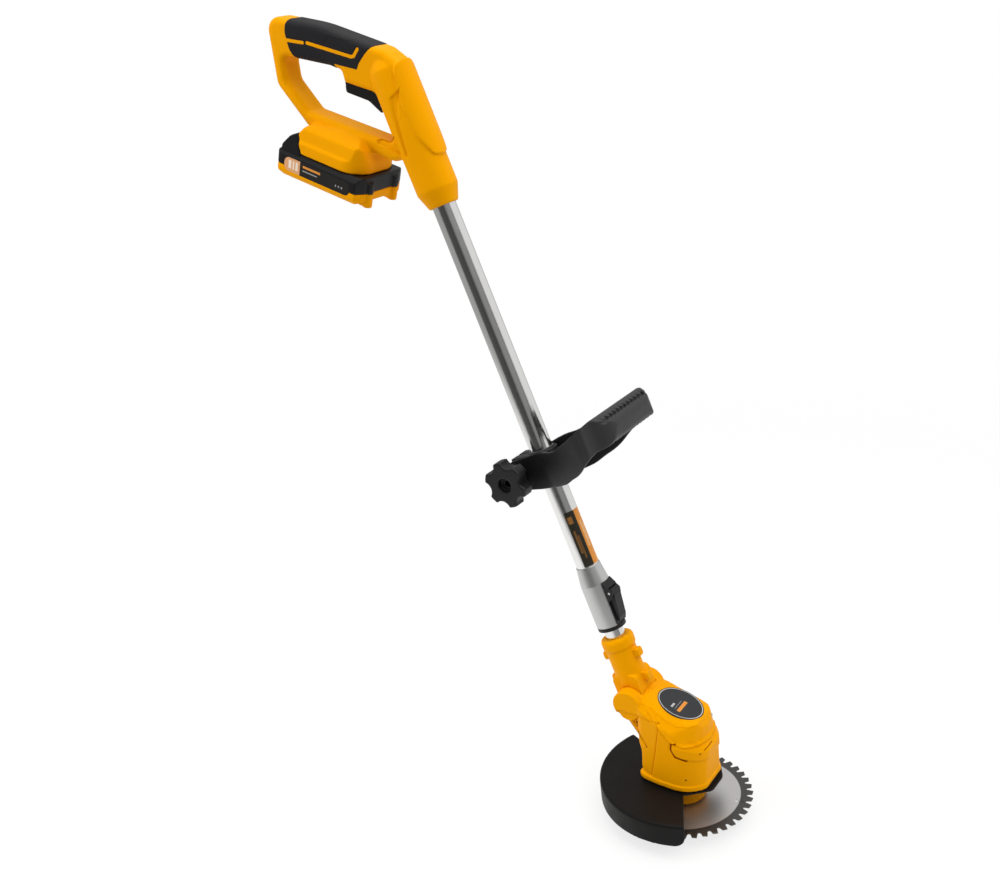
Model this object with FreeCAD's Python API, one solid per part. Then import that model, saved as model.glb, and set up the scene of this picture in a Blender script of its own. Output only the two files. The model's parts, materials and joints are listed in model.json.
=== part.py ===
"""Cordless grass trimmer with a saw blade, a telescopic shaft and a clamp-on front handle.

Millimetres, +X forward, +Y to the user's left, +Z up along the blade spindle. The model is drawn with
z = 0 in the middle plane of the blade and lifted when it is written, so the origin of the finished
part is the free end of the spindle. Three local frames are used besides that drawing frame:

  shaft frame    Z along the telescopic shaft, X forward and square to it
  battery frame  X forward along the battery's slide, Z square to its deck
  lid frame      X forward along the sloping top of the head, Z square to it
"""

import FreeCAD, Part
import math
import os

from FreeCAD import Placement, Rotation, Vector

# ---------------------------------------------------------------- driving dimensions

SPINDLE_DROP = 15.0          # from the blade's middle plane down to the free end of the spindle

SHAFT_LEAN = 18.5            # degrees the shaft leans back from the spindle
SHAFT_FOOT_X = -7.35         # where the shaft's axis meets the blade's plane
BATTERY_TILT = 19.5          # degrees the battery's deck drops towards the front
BATTERY_FRONT = (-309.0, 668.0)   # front of the battery's parting line, x and z
LID_TILT = 18.4              # degrees the head's top drops towards the front
LID_CENTRE = (3.6, 116.4)    # middle of the badge, x and z

BLADE_R = 75.0
BLADE_THICK = 1.4
BLADE_TEETH = 40
BLADE_BORE_R = 10.0
GULLET_DEPTH = 7.0
STUB_R = 3.5                 # free end of the spindle below the nut

GUARD_R = 91.0
GUARD_TOP = 28.2
GUARD_SKIRT = 2.5
GUARD_WALL = 2.6
GUARD_FROM = 155.0           # azimuth in degrees where the guard starts, going round the rear
GUARD_TO = 297.0

TUBE_R = 12.5
TUBE_BORE_R = 11.5
TUBE_FROM = 213.0            # along the shaft
TUBE_TO = 768.0
INNER_TUBE_R = 11.0
INNER_TUBE_BORE_R = 10.0
INNER_TUBE_FROM = 150.0
INNER_TUBE_TO = 470.0

SLEEVE_R = 16.0
SLEEVE_FROM = 209.4
SLEEVE_TO = 279.0
END_RING_FROM = 205.0

LEVER_PIVOT = (19.0, 246.0)  # forward and along the shaft
LEVER_HALF_WIDTH = 6.5

CLAMP_AT = 397.0             # middle of the front handle's clamp, along the shaft
CLAMP_HALF_HEIGHT = 17.0
CLAMP_R = 17.2
CLAMP_LINER_R = 14.0
CLAMP_BOLT_BACK = 24.0       # the bolt's axis behind the shaft's axis
ARM_INNER_Y = 17.7
ARM_THICK = 4.2
LOOP_HALF_WIDTH = 49.0
LOOP_FRONT = 125.0
BOLT_R = 3.0
KNOB_R = 25.0
KNOB_FACE_Y = -50.0

PIVOT_S = 122.8              # the head's tilting axis, along the shaft
BARREL_R = 17.0
TONGUE_HALF_WIDTH = 15.6
BARREL_HALF_LENGTH = 29.0
PIVOT_PIN_R = 4.0
PIVOT_PIN_REACH = 26.0

HANDLE_HALF_WIDTH = 15.0
SHELL_WALL = 2.4
SKIN = 1.2                   # thickness of the soft grip skin
NECK_R = 22.0

PACK_HALF_WIDTH = 38.2
PACK_LENGTH = 110.5
PACK_BOTTOM = -12.0
PACK_DECK = 17.0
PACK_WALL = 2.0
FOOT_HALF_WIDTH = 36.0
FOOT_BOTTOM = PACK_DECK + 0.35

CELL_R = 9.2
CELL_LENGTH = 65.0
CELL_PITCH = 18.9
CELL_COUNT = 5
CELL_FIRST = -90.0           # middle of the rearmost cell, along the pack
BOARD_TOP = 12.2
TERMINAL_Y = (-9.0, 9.0)
PACK_SCREWS = [(a, y) for a in (-103.0, -1.2) for y in (-30.0, 30.0)]

MODULE = 0.6                 # spur gear pair between motor and spindle
PRESSURE_ANGLE = 25.0
PINION_TEETH = 12
GEAR_TEETH = 28
GEAR_FROM = 25.0
GEAR_TO = 35.0
MOTOR_X = -MODULE * (PINION_TEETH + GEAR_TEETH) / 2
MOTOR_R = 17.8
MOTOR_FROM = 52.0
MOTOR_TO = 106.0

SCREW_HEAD_R = 2.8
SCREW_SUNK = 5.5             # from the casing's surface to the underside of a screw head

FIT = 0.05                   # running clearance of a shaft in its hole
GAP = 0.35                   # clearance between pieces that move past each other

X = Vector(1, 0, 0)
Y = Vector(0, 1, 0)
Z = Vector(0, 0, 1)

# ---------------------------------------------------------------- local frames

SHAFT = Placement(Vector(SHAFT_FOOT_X, 0, 0), Rotation(Y, -SHAFT_LEAN))
BATTERY = Placement(Vector(BATTERY_FRONT[0], 0, BATTERY_FRONT[1]), Rotation(Y, BATTERY_TILT))
LID = Placement(Vector(LID_CENTRE[0], 0, LID_CENTRE[1]), Rotation(Y, LID_TILT))


def placed(shape, frame):
    """The shape, drawn in a local frame, as it stands in the drawing frame."""
    moved = shape.copy()
    moved.Placement = frame.multiply(moved.Placement)
    return moved


def shaft_point(forward, along):
    """The drawing-frame x and z of a point given in the shaft frame."""
    point = SHAFT.multVec(Vector(forward, 0, along))
    return point.x, point.z


# ---------------------------------------------------------------- outlines and solids


def rounded_wire(corners):
    """A closed wire in the XY plane through corners (x, y, radius), each rounded by its own radius."""
    points = [Vector(c[0], c[1], 0) for c in corners]
    radii = [c[2] if len(c) > 2 else 0.0 for c in corners]
    count = len(points)
    starts = []
    ends = []
    arcs = []
    for i in range(count):
        here = points[i]
        to_last = (points[i - 1] - here).normalize()
        to_next = (points[(i + 1) % count] - here).normalize()
        if radii[i] == 0.0:
            starts.append(here)
            ends.append(here)
            arcs.append(None)
            continue
        half = to_last.getAngle(to_next) / 2
        reach = radii[i] / math.tan(half)
        bisector = (to_last + to_next).normalize()
        starts.append(here + to_last * reach)
        ends.append(here + to_next * reach)
        arcs.append(here + bisector * (radii[i] / math.sin(half) - radii[i]))
    edges = []
    for i in range(count):
        if arcs[i] is not None:
            edges.append(Part.Arc(starts[i], arcs[i], ends[i]).toShape())
        following = starts[(i + 1) % count]
        if (following - ends[i]).Length > 1e-6:
            edges.append(Part.LineSegment(ends[i], following).toShape())
    return Part.Wire(edges)


def drawn_in(corners, inset):
    """The corners of an outline moved in by an inset, square to each side, with radii to match."""
    points = [Vector(c[0], c[1], 0) for c in corners]
    count = len(points)
    area = sum(points[i - 1].x * points[i].y - points[i].x * points[i - 1].y for i in range(count))
    turn = 1.0 if area > 0 else -1.0
    moved = []
    for i in range(count):
        before = (points[i] - points[i - 1]).normalize()
        after = (points[(i + 1) % count] - points[i]).normalize()
        inward_before = Vector(-before.y, before.x, 0) * turn
        inward_after = Vector(-after.y, after.x, 0) * turn
        bisector = (inward_before + inward_after).normalize()
        corner = points[i] + bisector * (inset / bisector.dot(inward_before))
        convex = before.cross(after).z * turn > 0
        radius = corners[i][2] if len(corners[i]) > 2 else 0.0
        if radius > 0:
            radius = max(radius - inset if convex else radius + inset, 0.0)
        moved.append((corner.x, corner.y, radius))
    return moved


def plate(corners, low, high, inset=0.0):
    """An outline in XY, optionally drawn in by an inset, standing between two heights along Z."""
    wire = rounded_wire(drawn_in(corners, inset) if inset else corners)
    solid = Part.Face(wire).extrude(Z * (high - low))
    solid.translate(Z * low)
    return solid


def side_plate(corners, right, left, inset=0.0):
    """An outline in XZ, standing between two places along Y."""
    solid = plate(corners, -left, -right, inset)
    solid.rotate(Vector(), X, 90)
    return solid


def front_plate(corners, back, front, inset=0.0):
    """An outline in YZ, standing between two places along X."""
    solid = plate(corners, back, front, inset)
    solid.rotate(Vector(), X, 90)
    solid.rotate(Vector(), Z, 90)
    return solid


def box(x0, x1, y0, y1, z0, z1):
    return Part.makeBox(x1 - x0, y1 - y0, z1 - z0, Vector(x0, y0, z0))


def rod(radius, low, high, x=0.0, y=0.0):
    """A cylinder along Z."""
    return Part.makeCylinder(radius, high - low, Vector(x, y, low), Z)


def cross_rod(radius, right, left, x, z):
    """A cylinder along Y."""
    return Part.makeCylinder(radius, left - right, Vector(x, right, z), Y)


def ring(outer, inner, low, high, x=0.0, y=0.0):
    return rod(outer, low, high, x, y).cut(rod(inner, low - 1, high + 1, x, y))


def turned(profile):
    """A solid of revolution about Z from (radius, height) points, closed along the axis."""
    points = [Vector(r, 0, h) for r, h in profile]
    points.append(points[0])
    return Part.Face(Part.makePolygon(points)).revolve(Vector(), Z, 360)


def joined(shapes):
    """One solid from shapes that overlap."""
    result = shapes[0].multiFuse(shapes[1:]) if len(shapes) > 1 else shapes[0]
    return result.removeSplitter()


def right_half(solid):
    return solid.common(box(-1000, 1000, -500, 0, -100, 1200))


def left_half(solid):
    return solid.common(box(-1000, 1000, 0, 500, -100, 1200))


def round_long_edges(solid, radius, half_width):
    """Fillets the edges that lie in the two faces y = +half_width and y = -half_width."""
    chosen = []
    for edge in solid.Edges:
        bounds = edge.BoundBox
        flat = bounds.YMax - bounds.YMin < 1e-4
        if flat and abs(abs(bounds.YMin) - half_width) < 1e-4:
            chosen.append(edge)
    return solid.makeFillet(radius, chosen)


def round_hole_edges(solid, hole, radius, half_width):
    """Fillets the edges where a hole leaves the two faces y = +half_width and y = -half_width."""
    chosen = []
    for edge in solid.Edges:
        bounds = edge.BoundBox
        flat = bounds.YMax - bounds.YMin < 1e-4 and abs(abs(bounds.YMin) - half_width) < 1e-4
        middle = Part.Vertex(edge.valueAt((edge.FirstParameter + edge.LastParameter) / 2))
        if flat and middle.distToShape(hole)[0] < 1e-4:
            chosen.append(edge)
    return solid.makeFillet(radius, chosen)


PARTS = {}


def keep(name, *shapes):
    """Writes one node: one solid, or a group of separate solids."""
    solids = []
    for shape in shapes:
        lifted = shape.copy()
        lifted.translate(Z * SPINDLE_DROP)
        solids.extend(lifted.Solids)
    PARTS[name] = solids[0] if len(solids) == 1 else Part.makeCompound(solids)


# ---------------------------------------------------------------- rear handle

GRIP_TOP_REAR = (-416.5, 851.0)
OUTER_ROUND = 7.0
HOLE_ROUND = 6.0

FRAME_OUTLINE = [
    (GRIP_TOP_REAR[0], GRIP_TOP_REAR[1], 14.0),
    (GRIP_TOP_REAR[0], 780.5, 14.0),
    (-380.6, 733.6, 4.0),
    (-272.0, 696.5, 5.0),
    (-250.0, 700.0, 5.0),
    (-246.0, 790.0, 20.0),
    (-268.0, 806.5, 20.0),
    (-348.0, 835.5, 200.0),
]

HAND_HOLE = [
    (-402.0, 809.5, 8.0),
    (-338.0, 795.3, 4.0),
    (-323.5, 789.5, 6.0),
    (-322.0, 777.5, 2.0),
    (-284.0, 765.5, 6.0),
    (-266.0, 713.8, 6.0),
    (-377.5, 751.5, 7.0),
    (-402.0, 783.5, 12.0),
]

GRIP_SKIN_OUTLINE = [
    (-395.0, 856.0, 0.0),
    (-390.0, 822.0, 0.0),
    (-383.0, 790.0, 0.0),
    (-334.0, 790.0, 0.0),
    (-334.0, 797.0, 0.0),
    (-300.0, 789.0, 0.0),
    (-292.0, 801.0, 0.0),
    (-268.0, 815.0, 0.0),
    (-268.0, 856.0, 0.0),
]

TRIGGER_PIVOT = (-277.5, 753.0)

TRIGGER_OUTLINE = [
    (-324.5, 781.0, 1.5),
    (-325.5, 767.5, 3.0),
    (-297.0, 757.5, 10.0),
    (-283.0, 745.0, 1.5),
    (-273.5, 749.0, 3.0),
    (-273.0, 765.0, 2.0),
    (-300.0, 774.5, 2.0),
]

TRIGGER_POCKET = [
    (-326.5, 760.0, 0.0),
    (-326.5, 788.0, 2.0),
    (-270.0, 771.0, 2.0),
    (-269.5, 744.0, 2.0),
    (-279.0, 738.0, 0.0),
]

FOOT_SIDE = [
    (-78.5, FOOT_BOTTOM, 0.0),
    (-87.0, 37.0, 3.0),
    (-80.0, 47.0, 5.0),
    (-40.0, 52.0, 20.0),
    (-14.0, 51.0, 12.0),
    (-4.5, 42.0, 6.0),
    (-1.5, 28.0, 2.0),
    (-1.0, FOOT_BOTTOM, 0.0),
]

FOOT_PLAN = [
    (-100.0, -FOOT_HALF_WIDTH, 0.0),
    (-1.0, -FOOT_HALF_WIDTH, 24.0),
    (-1.0, FOOT_HALF_WIDTH, 24.0),
    (-100.0, FOOT_HALF_WIDTH, 0.0),
]

FOOT_SECTION = [
    (-FOOT_HALF_WIDTH, FOOT_BOTTOM, 0.0),
    (-FOOT_HALF_WIDTH, 28.5, 1.5),
    (-33.5, 31.0, 1.5),
    (-31.5, 44.0, 5.0),
    (-14.0, 53.5, 8.0),
    (14.0, 53.5, 8.0),
    (31.5, 44.0, 5.0),
    (33.5, 31.0, 1.5),
    (FOOT_HALF_WIDTH, 28.5, 1.5),
    (FOOT_HALF_WIDTH, FOOT_BOTTOM, 0.0),
]

NECK_PROFILE = [
    (0.0, 685.5),
    (15.5, 685.5),
    (NECK_R, 703.0),
    (NECK_R, 735.0),
    (NECK_R + 0.6, 770.0),
    (NECK_R, 805.0),
    (20.5, 829.0),
    (14.0, 842.0),
    (0.0, 846.0),
]

HUMP_OUTLINE = [
    (30.0, 729.0, 0.0),
    (22.0, 733.0, 10.0),
    (15.0, 757.0, 40.0),
    (13.0, 790.0, 40.0),
    (17.0, 826.0, 10.0),
    (30.0, 838.0, 0.0),
]


# x, z and the casing's half-width at each screw
HANDLE_SCREWS = [
    (-405.0, 836.0, HANDLE_HALF_WIDTH),
    (-394.8, 764.0, HANDLE_HALF_WIDTH),
    (-343.0, 820.0, HANDLE_HALF_WIDTH),
    (-274.0, 780.0, 20.0),
    (*shaft_point(0.0, 778.0), NECK_R),
]


def foot(inset):
    """The shoe over the battery, in the battery frame."""
    side = side_plate(FOOT_SIDE, -60, 60, inset)
    plan = plate(FOOT_PLAN, 0, 80, inset)
    section = front_plate(FOOT_SECTION, -120, 20, inset)
    return side.common(plan).common(section)


def neck(inset):
    """The round neck over the tube with its raised front hump, in the shaft frame."""
    body = turned([(max(r - inset, 0.0), s) for r, s in NECK_PROFILE])
    hump = rod(NECK_R + 2.6 - inset, 729, 838).common(side_plate(HUMP_OUTLINE, -60, 60, inset))
    return body.fuse(hump)


def handle_solid(inset):
    """The whole handle casing, drawn in by an inset so that two of them make a wall."""
    width = HANDLE_HALF_WIDTH - inset
    frame = side_plate(FRAME_OUTLINE, -width, width, inset)
    frame = round_long_edges(frame, OUTER_ROUND - inset, width)
    hole = side_plate(HAND_HOLE, -60, 60, -inset)
    neck_solid = placed(neck(inset), SHAFT)
    foot_solid = placed(foot(inset), BATTERY)
    body = round_hole_edges(frame.cut(hole), hole, HOLE_ROUND - inset, width)
    body = body.fuse(neck_solid.cut(side_plate(HAND_HOLE, -40, 40, -inset)))
    return body.fuse(foot_solid).removeSplitter()


def battery_channel():
    """The slot under the foot that the battery's rails slide into, open to the rear, battery frame."""
    stem = box(-120, -8, -15.5, 15.5, FOOT_BOTTOM - 5, 30)
    head = box(-120, -8, -20.0, 20.0, 22.0, 30)
    return stem.fuse(head)


def make_rear_handle():
    outer = handle_solid(0.0)
    under_skin = handle_solid(SKIN)
    inner = handle_solid(SHELL_WALL + SKIN)

    skin_region = side_plate(GRIP_SKIN_OUTLINE, -40, 40)
    inlay = side_plate(
        [(-392, 826, 0), (-300, 803.5, 0), (-293.5, 811, 0), (-291.5, 808.5, 0), (-301, 798.5, 0), (-392, 821, 0)],
        -40, 40)
    skin = outer.cut(under_skin).common(skin_region).cut(inlay)
    skin = skin.common(box(-395, -260, -40, 40, 785, 860))

    tube_seat = placed(rod(TUBE_R, 600, TUBE_TO), SHAFT)
    channel = placed(battery_channel(), BATTERY)
    pocket = side_plate(TRIGGER_POCKET, -9.2, 9.2)
    bosses = [cross_rod(4.2, -NECK_R, NECK_R, x, z) for x, z, _ in HANDLE_SCREWS]
    neck_walls = placed(ring(TUBE_R + 2.5, TUBE_R, 687, TUBE_TO + 3), SHAFT)
    cap_wall = placed(rod(TUBE_R + 2.5, TUBE_TO, TUBE_TO + 3), SHAFT)
    pocket_wall = side_plate(TRIGGER_POCKET, -11.2, 11.2, -2.0)
    channel_wall = placed(box(-84, -6, -22.0, 22.0, FOOT_BOTTOM, 32), BATTERY)

    ribs = neck_walls.fuse([cap_wall, pocket_wall, channel_wall] + bosses)
    shell = outer.cut(inner).fuse(ribs.common(under_skin))
    shell = shell.cut(skin).cut(tube_seat).cut(channel).cut(pocket)
    shell = shell.cut(switch_solid(0.1)).cut(placed(terminal_block_solid(), BATTERY))
    for tool in across_screws(HANDLE_SCREWS) + screw_recesses(HANDLE_SCREWS):
        shell = shell.cut(tool)
    shell = shell.cut(trigger_pin_solid())
    shell = shell.cut(placed(tube_pin_solid(), SHAFT))

    keep("handle_shell_right", largest(right_half(shell)))
    keep("handle_shell_left", largest(left_half(shell)))
    keep("grip_skin_right", largest(right_half(skin)))
    keep("grip_skin_left", largest(left_half(skin)))
    keep("handle_screws", *across_screws(HANDLE_SCREWS))
    keep("switch_body", switch_solid(0.0))
    keep("terminal_block", placed(terminal_block_solid(), BATTERY))
    keep("trigger_pin", trigger_pin_solid())
    keep("tube_pin", placed(tube_pin_solid(), SHAFT))


def largest(shape):
    return max(shape.Solids, key=lambda solid: solid.Volume)


def across_screws(places):
    """Screws along Y that join two shells, each head sunk below the left shell's surface."""
    screws = []
    for x, z, half_width in places:
        under_head = half_width - SCREW_SUNK
        shank = cross_rod(1.4, -under_head, under_head, x, z)
        screws.append(shank.fuse(cross_rod(SCREW_HEAD_R, under_head, under_head + 2.2, x, z)))
    return screws


def screw_recesses(places):
    return [cross_rod(SCREW_HEAD_R + 0.3, half_width - SCREW_SUNK, 60, x, z) for x, z, half_width in places]


def switch_solid(grow):
    """The switch above the trigger with its plunger, optionally grown to make its seat."""
    outline = [(-320.0, 790.0), (-292.0, 781.5), (-288.5, 793.0), (-316.5, 801.5)]
    case = side_plate(outline, -6.5 - grow, 6.5 + grow, -grow)
    plunger = box(-301.5 - grow, -298.5 + grow, -2.0 - grow, 2.0 + grow, 778.4, 788.0)
    return case.fuse(plunger)


def terminal_block_solid():
    """The contact holder in the foot with its two blades, battery frame."""
    block = box(-14, -8, -14.0, 14.0, 19.5, 29.5)
    blades = [box(-26, -13.5, y - 0.4, y + 0.4, 22.0, 28.0) for y in TERMINAL_Y]
    return block.fuse(blades)


def trigger_pin_solid():
    return cross_rod(1.5, -12.5, 12.5, *TRIGGER_PIVOT)


def tube_pin_solid():
    """The cross pin that holds the tube in the neck, shaft frame."""
    return cross_rod(2.0, -18.0, 18.0, 0.0, 712.0)


def make_trigger():
    blade = side_plate(TRIGGER_OUTLINE, -8.4, 8.4)
    bore = cross_rod(1.5 + FIT, -20, 20, *TRIGGER_PIVOT)
    keep("trigger", blade.cut(bore))


# ---------------------------------------------------------------- battery pack

PACK_PLAN = [
    (-PACK_LENGTH, -PACK_HALF_WIDTH, 7.0),
    (-1.0, -PACK_HALF_WIDTH, 3.0),
    (4.5, -28.0, 4.0),
    (5.0, 28.0, 4.0),
    (-1.0, PACK_HALF_WIDTH, 3.0),
    (-PACK_LENGTH, PACK_HALF_WIDTH, 7.0),
]

PACK_SECTION = [
    (-PACK_HALF_WIDTH, -7.0, 2.0),
    (-PACK_HALF_WIDTH, 11.0, 2.0),
    (-33.0, PACK_DECK, 1.5),
    (33.0, PACK_DECK, 1.5),
    (PACK_HALF_WIDTH, 11.0, 2.0),
    (PACK_HALF_WIDTH, -7.0, 2.0),
    (34.0, PACK_BOTTOM, 2.0),
    (-34.0, PACK_BOTTOM, 2.0),
]

PACK_SIDE = [
    (-PACK_LENGTH, -5.0, 3.0),
    (-PACK_LENGTH, 13.0, 2.0),
    (-106.5, PACK_DECK, 1.0),
    (6.0, PACK_DECK, 4.0),
    (6.0, -8.0, 3.0),
    (-4.0, PACK_BOTTOM, 3.0),
    (-101.0, PACK_BOTTOM, 3.0),
]

HUMP_SIDE = [
    (-106.0, 12.0, 0.0),
    (-106.0, 20.0, 6.0),
    (-97.0, 32.0, 12.0),
    (-87.6, 37.5, 1.0),
    (-79.0, FOOT_BOTTOM, 0.0),
    (-79.0, 12.0, 0.0),
]

HUMP_SECTION = [
    (-35.5, 0.0, 0.0),
    (-35.5, 22.0, 2.0),
    (-31.0, 45.0, 8.0),
    (31.0, 45.0, 8.0),
    (35.5, 22.0, 2.0),
    (35.5, 0.0, 0.0),
]

POST_A = 4.0
POST_Y = 20.5
POST_R = 5.0
RELEASE_AT = (-104.0, 21.0)


def pack_body(inset):
    section = front_plate(PACK_SECTION, -150, 40, inset)
    side = side_plate(PACK_SIDE, -60, 60, inset)
    plan = plate(PACK_PLAN, -30, 40, inset)
    return section.common(side).common(plan)


def pack_hump(inset):
    """The raised block behind the foot that carries the release button."""
    return side_plate(HUMP_SIDE, -60, 60, inset).common(front_plate(HUMP_SECTION, -150, 40, inset))


def pack_rails():
    """The tee-shaped tongue that slides into the foot."""
    stem = box(-84, -22.5, -15.5 + GAP, 15.5 - GAP, BOARD_TOP, 29.6)
    head = box(-84, -22.5, -20.0 + GAP, 20.0 - GAP, 22.0 + GAP, 29.6)
    slots = [box(-31, -10, y - 1.6, y + 1.6, 20.5, 31.0) for y in TERMINAL_Y]
    return stem.fuse(head).cut(slots[0]).cut(slots[1])


def make_battery():
    outer = pack_body(0.0).fuse(pack_hump(0.0))
    inner = pack_body(PACK_WALL).fuse(pack_hump(PACK_WALL))
    above = box(-200, 100, -80, 80, 0, 80)
    below = box(-200, 100, -80, 80, -60, 0)
    case = outer.cut(inner)

    posts = [rod(POST_R, 0, 12, POST_A, y) for y in (-POST_Y, POST_Y)]
    feet = []
    for y in (-POST_Y, POST_Y):
        feet.append(rod(POST_R, -15, 0, POST_A, y).fuse(box(-12, POST_A, y - 3.5, y + 3.5, -15, -8)))
    screws = [pack_screw(a, y) for a, y in PACK_SCREWS]
    recesses = [rod(2.9, PACK_BOTTOM - 5, -8.0, a, y) for a, y in PACK_SCREWS]
    towers = [rod(3.6, PACK_BOTTOM, 15.1, a, y).common(outer) for a, y in PACK_SCREWS]
    spring_wall = box(-89.8, -87.8, -6.0, 6.0, 16.0, 36.2).common(outer)
    label = pack_label()

    upper = case.common(above).fuse(posts + [t.common(above) for t in towers] + [pack_rails(), spring_wall])
    lower = case.common(below).fuse([f.cut(inner) for f in feet] + [t.common(below) for t in towers])
    for tool in screws + recesses + [release_hole(), label]:
        upper = upper.cut(tool)
        lower = lower.cut(tool)
    board = box(-88, -16, -26, 26, BOARD_TOP - 1.6, BOARD_TOP)
    components = [box(-80, -56, y - 4, y + 4, BOARD_TOP, BOARD_TOP + 1.8) for y in (-21.0, 21.0)]

    keep("battery_case_upper", placed(largest(upper), BATTERY))
    keep("battery_case_lower", placed(largest(lower), BATTERY))
    keep("battery_label", placed(label, BATTERY))
    keep("battery_screws", *[placed(s, BATTERY) for s in screws])
    keep("battery_cells", *[placed(c, BATTERY) for c in pack_cells()])
    keep("battery_board", placed(board.fuse(components), BATTERY))
    keep("battery_contacts", *[placed(c, BATTERY) for c in pack_contacts()])
    keep("release_button", placed(release_button(), BATTERY))


def pack_cells():
    cells = []
    for i in range(CELL_COUNT):
        a = CELL_FIRST + i * CELL_PITCH
        can = cross_rod(CELL_R, -CELL_LENGTH / 2, CELL_LENGTH / 2 - 1.5, a, 0.6)
        tip = cross_rod(3.2, CELL_LENGTH / 2 - 1.5, CELL_LENGTH / 2, a, 0.6)
        cells.append(can.fuse(tip))
    return cells


def pack_contacts():
    """Two forked clips inside the tongue's slots, open to the front for the terminal blades."""
    clips = []
    for y in TERMINAL_Y:
        clip = box(-31, -24.5, y - 1.6, y + 1.6, 20.5, 28.5)
        clips.append(clip.cut(box(-30.2, -20, y - 0.75, y + 0.75, 20, 30)))
    return clips


def pack_screw(a, y):
    return rod(1.4, -6.0, 9.0, a, y).fuse(rod(2.6, -8.0, -6.0, a, y))


def pack_label():
    """The rounded label let into the pack's right side."""
    outline = [(-98.0, -4.5, 7.0), (-98.0, 10.5, 7.0), (-8.5, 10.5, 5.0), (-8.5, -4.5, 5.0)]
    return side_plate(outline, -PACK_HALF_WIDTH, -PACK_HALF_WIDTH + 0.6)


def release_button():
    """The push button in the rear of the hump."""
    a, up = RELEASE_AT
    outline = [(-12, up - 4, 2), (-12, up + 4, 2), (12, up + 4, 2), (12, up - 4, 2)]
    return front_plate(outline, a - 3.5, a + 8.0)


def release_hole():
    a, up = RELEASE_AT
    outline = [(-12, up - 4, 2), (-12, up + 4, 2), (12, up + 4, 2), (12, up - 4, 2)]
    return front_plate(outline, a - 10, a + 13.0, -GAP)


def spring_tube(radius, thick, start, end):
    """A coil spring drawn as a closed tube between two points."""
    axis = end - start
    outer = Part.makeCylinder(radius, axis.Length, start, axis)
    return outer.cut(Part.makeCylinder(radius - thick, axis.Length, start, axis))


# ---------------------------------------------------------------- shaft


def make_shaft():
    keep("upper_tube", placed(
        ring(TUBE_R, TUBE_BORE_R, TUBE_FROM, TUBE_TO).cut(tube_pin_solid()), SHAFT))

    label = ring(TUBE_R + 0.2, TUBE_R, 280.5, 343.5)
    wedge = side_sector(-70.0, 26.0, 40.0, 270, 350)
    keep("tube_label", placed(label.common(wedge), SHAFT))

    profile = [(SLEEVE_R, SLEEVE_FROM), (SLEEVE_R, 258), (15.4, 263), (13.3, SLEEVE_TO)]
    sleeve = turned([(TUBE_R, SLEEVE_FROM)] + profile + [(TUBE_R, SLEEVE_TO)])
    sleeve = sleeve.cut(lever_window())
    keep("lock_sleeve", placed(sleeve, SHAFT))
    keep("lever_bracket", placed(lever_bracket(), SHAFT))
    keep("lever_pin", placed(cross_rod(1.5, -8.8, 8.8, *LEVER_PIVOT), SHAFT))
    end_ring = ring(15.8, INNER_TUBE_R + 0.1, END_RING_FROM, SLEEVE_FROM)
    bush = ring(12.5, INNER_TUBE_R + 0.1, SLEEVE_FROM - 0.1, TUBE_FROM)
    keep("sleeve_end_ring", placed(end_ring.fuse(bush), SHAFT))

    keep("lock_lever", placed(lock_lever(), SHAFT))

    inner = ring(INNER_TUBE_R, INNER_TUBE_BORE_R, INNER_TUBE_FROM, INNER_TUBE_TO)
    keep("inner_tube", placed(inner, SHAFT))
    keep("inner_tube_guide", placed(
        ring(TUBE_BORE_R - 0.1, INNER_TUBE_BORE_R, INNER_TUBE_TO, INNER_TUBE_TO + 25), SHAFT))


def side_sector(start, end, reach, low, high):
    """A pie slice about Z between two azimuths in degrees."""
    angles = [start + (end - start) * i / 4 for i in range(5)]
    points = [Vector(0, 0, low)]
    points += [Vector(reach * math.cos(math.radians(a)), reach * math.sin(math.radians(a)), low) for a in angles]
    points.append(points[0])
    return Part.Face(Part.makePolygon(points)).extrude(Z * (high - low))


def lever_window():
    """The flat bed that the lever's bracket sits on."""
    return box(14.2, 30, -9, 9, SLEEVE_FROM, 259)


def lever_bracket():
    """The black bracket on the sleeve with two ears for the lever's pin."""
    base = side_plate([(14.2, 210), (15.2, 210), (15.2, 240), (14.4, 259), (14.2, 259)], -9, 9)
    hood = side_plate([(14.4, 251.2), (19.8, 251.2), (15.0, 259.0), (14.4, 259.0)], -9, 9)
    ears = []
    for side in (-1, 1):
        y0, y1 = sorted((side * (LEVER_HALF_WIDTH + GAP), side * 9.0))
        outline = [(14.4, 236, 0), (14.4, 252, 0), (19.0, 251.2, 1), (22.8, 246, 2), (21.5, 240, 1)]
        ears.append(side_plate(outline, y0, y1))
    bracket = joined([base, hood] + ears)
    return bracket.cut(cross_rod(1.5, -12, 12, *LEVER_PIVOT))


def lock_lever():
    """The cam lever, pivoted near its upper end, lying down the front of the sleeve."""
    w, s = LEVER_PIVOT
    cam = cross_rod(3.6, -LEVER_HALF_WIDTH, LEVER_HALF_WIDTH, w, s)
    arm = side_plate(
        [(w - 3.3, s - 1), (w - 3.3, 214.0), (17.5, 212.5), (19.4, 217.0), (23.2, 242.0), (w + 2, s + 2.8)],
        -LEVER_HALF_WIDTH, LEVER_HALF_WIDTH)
    return joined([cam, arm]).cut(cross_rod(1.5 + FIT, -20, 20, w, s))


# ---------------------------------------------------------------- front handle

LOOP_SIDE = [
    (-36.0, 381.0, 12.0),
    (-36.0, 413.0, 12.0),
    (8.0, 416.0, 30.0),
    (32.0, 412.5, 40.0),
    (58.0, 421.5, 60.0),
    (108.0, 441.0, 9.0),
    (LOOP_FRONT + 1, 432.5, 10.0),
    (LOOP_FRONT - 4, 411.0, 10.0),
    (101.0, 408.0, 12.0),
    (62.0, 380.5, 60.0),
    (20.0, 374.5, 60.0),
]


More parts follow.
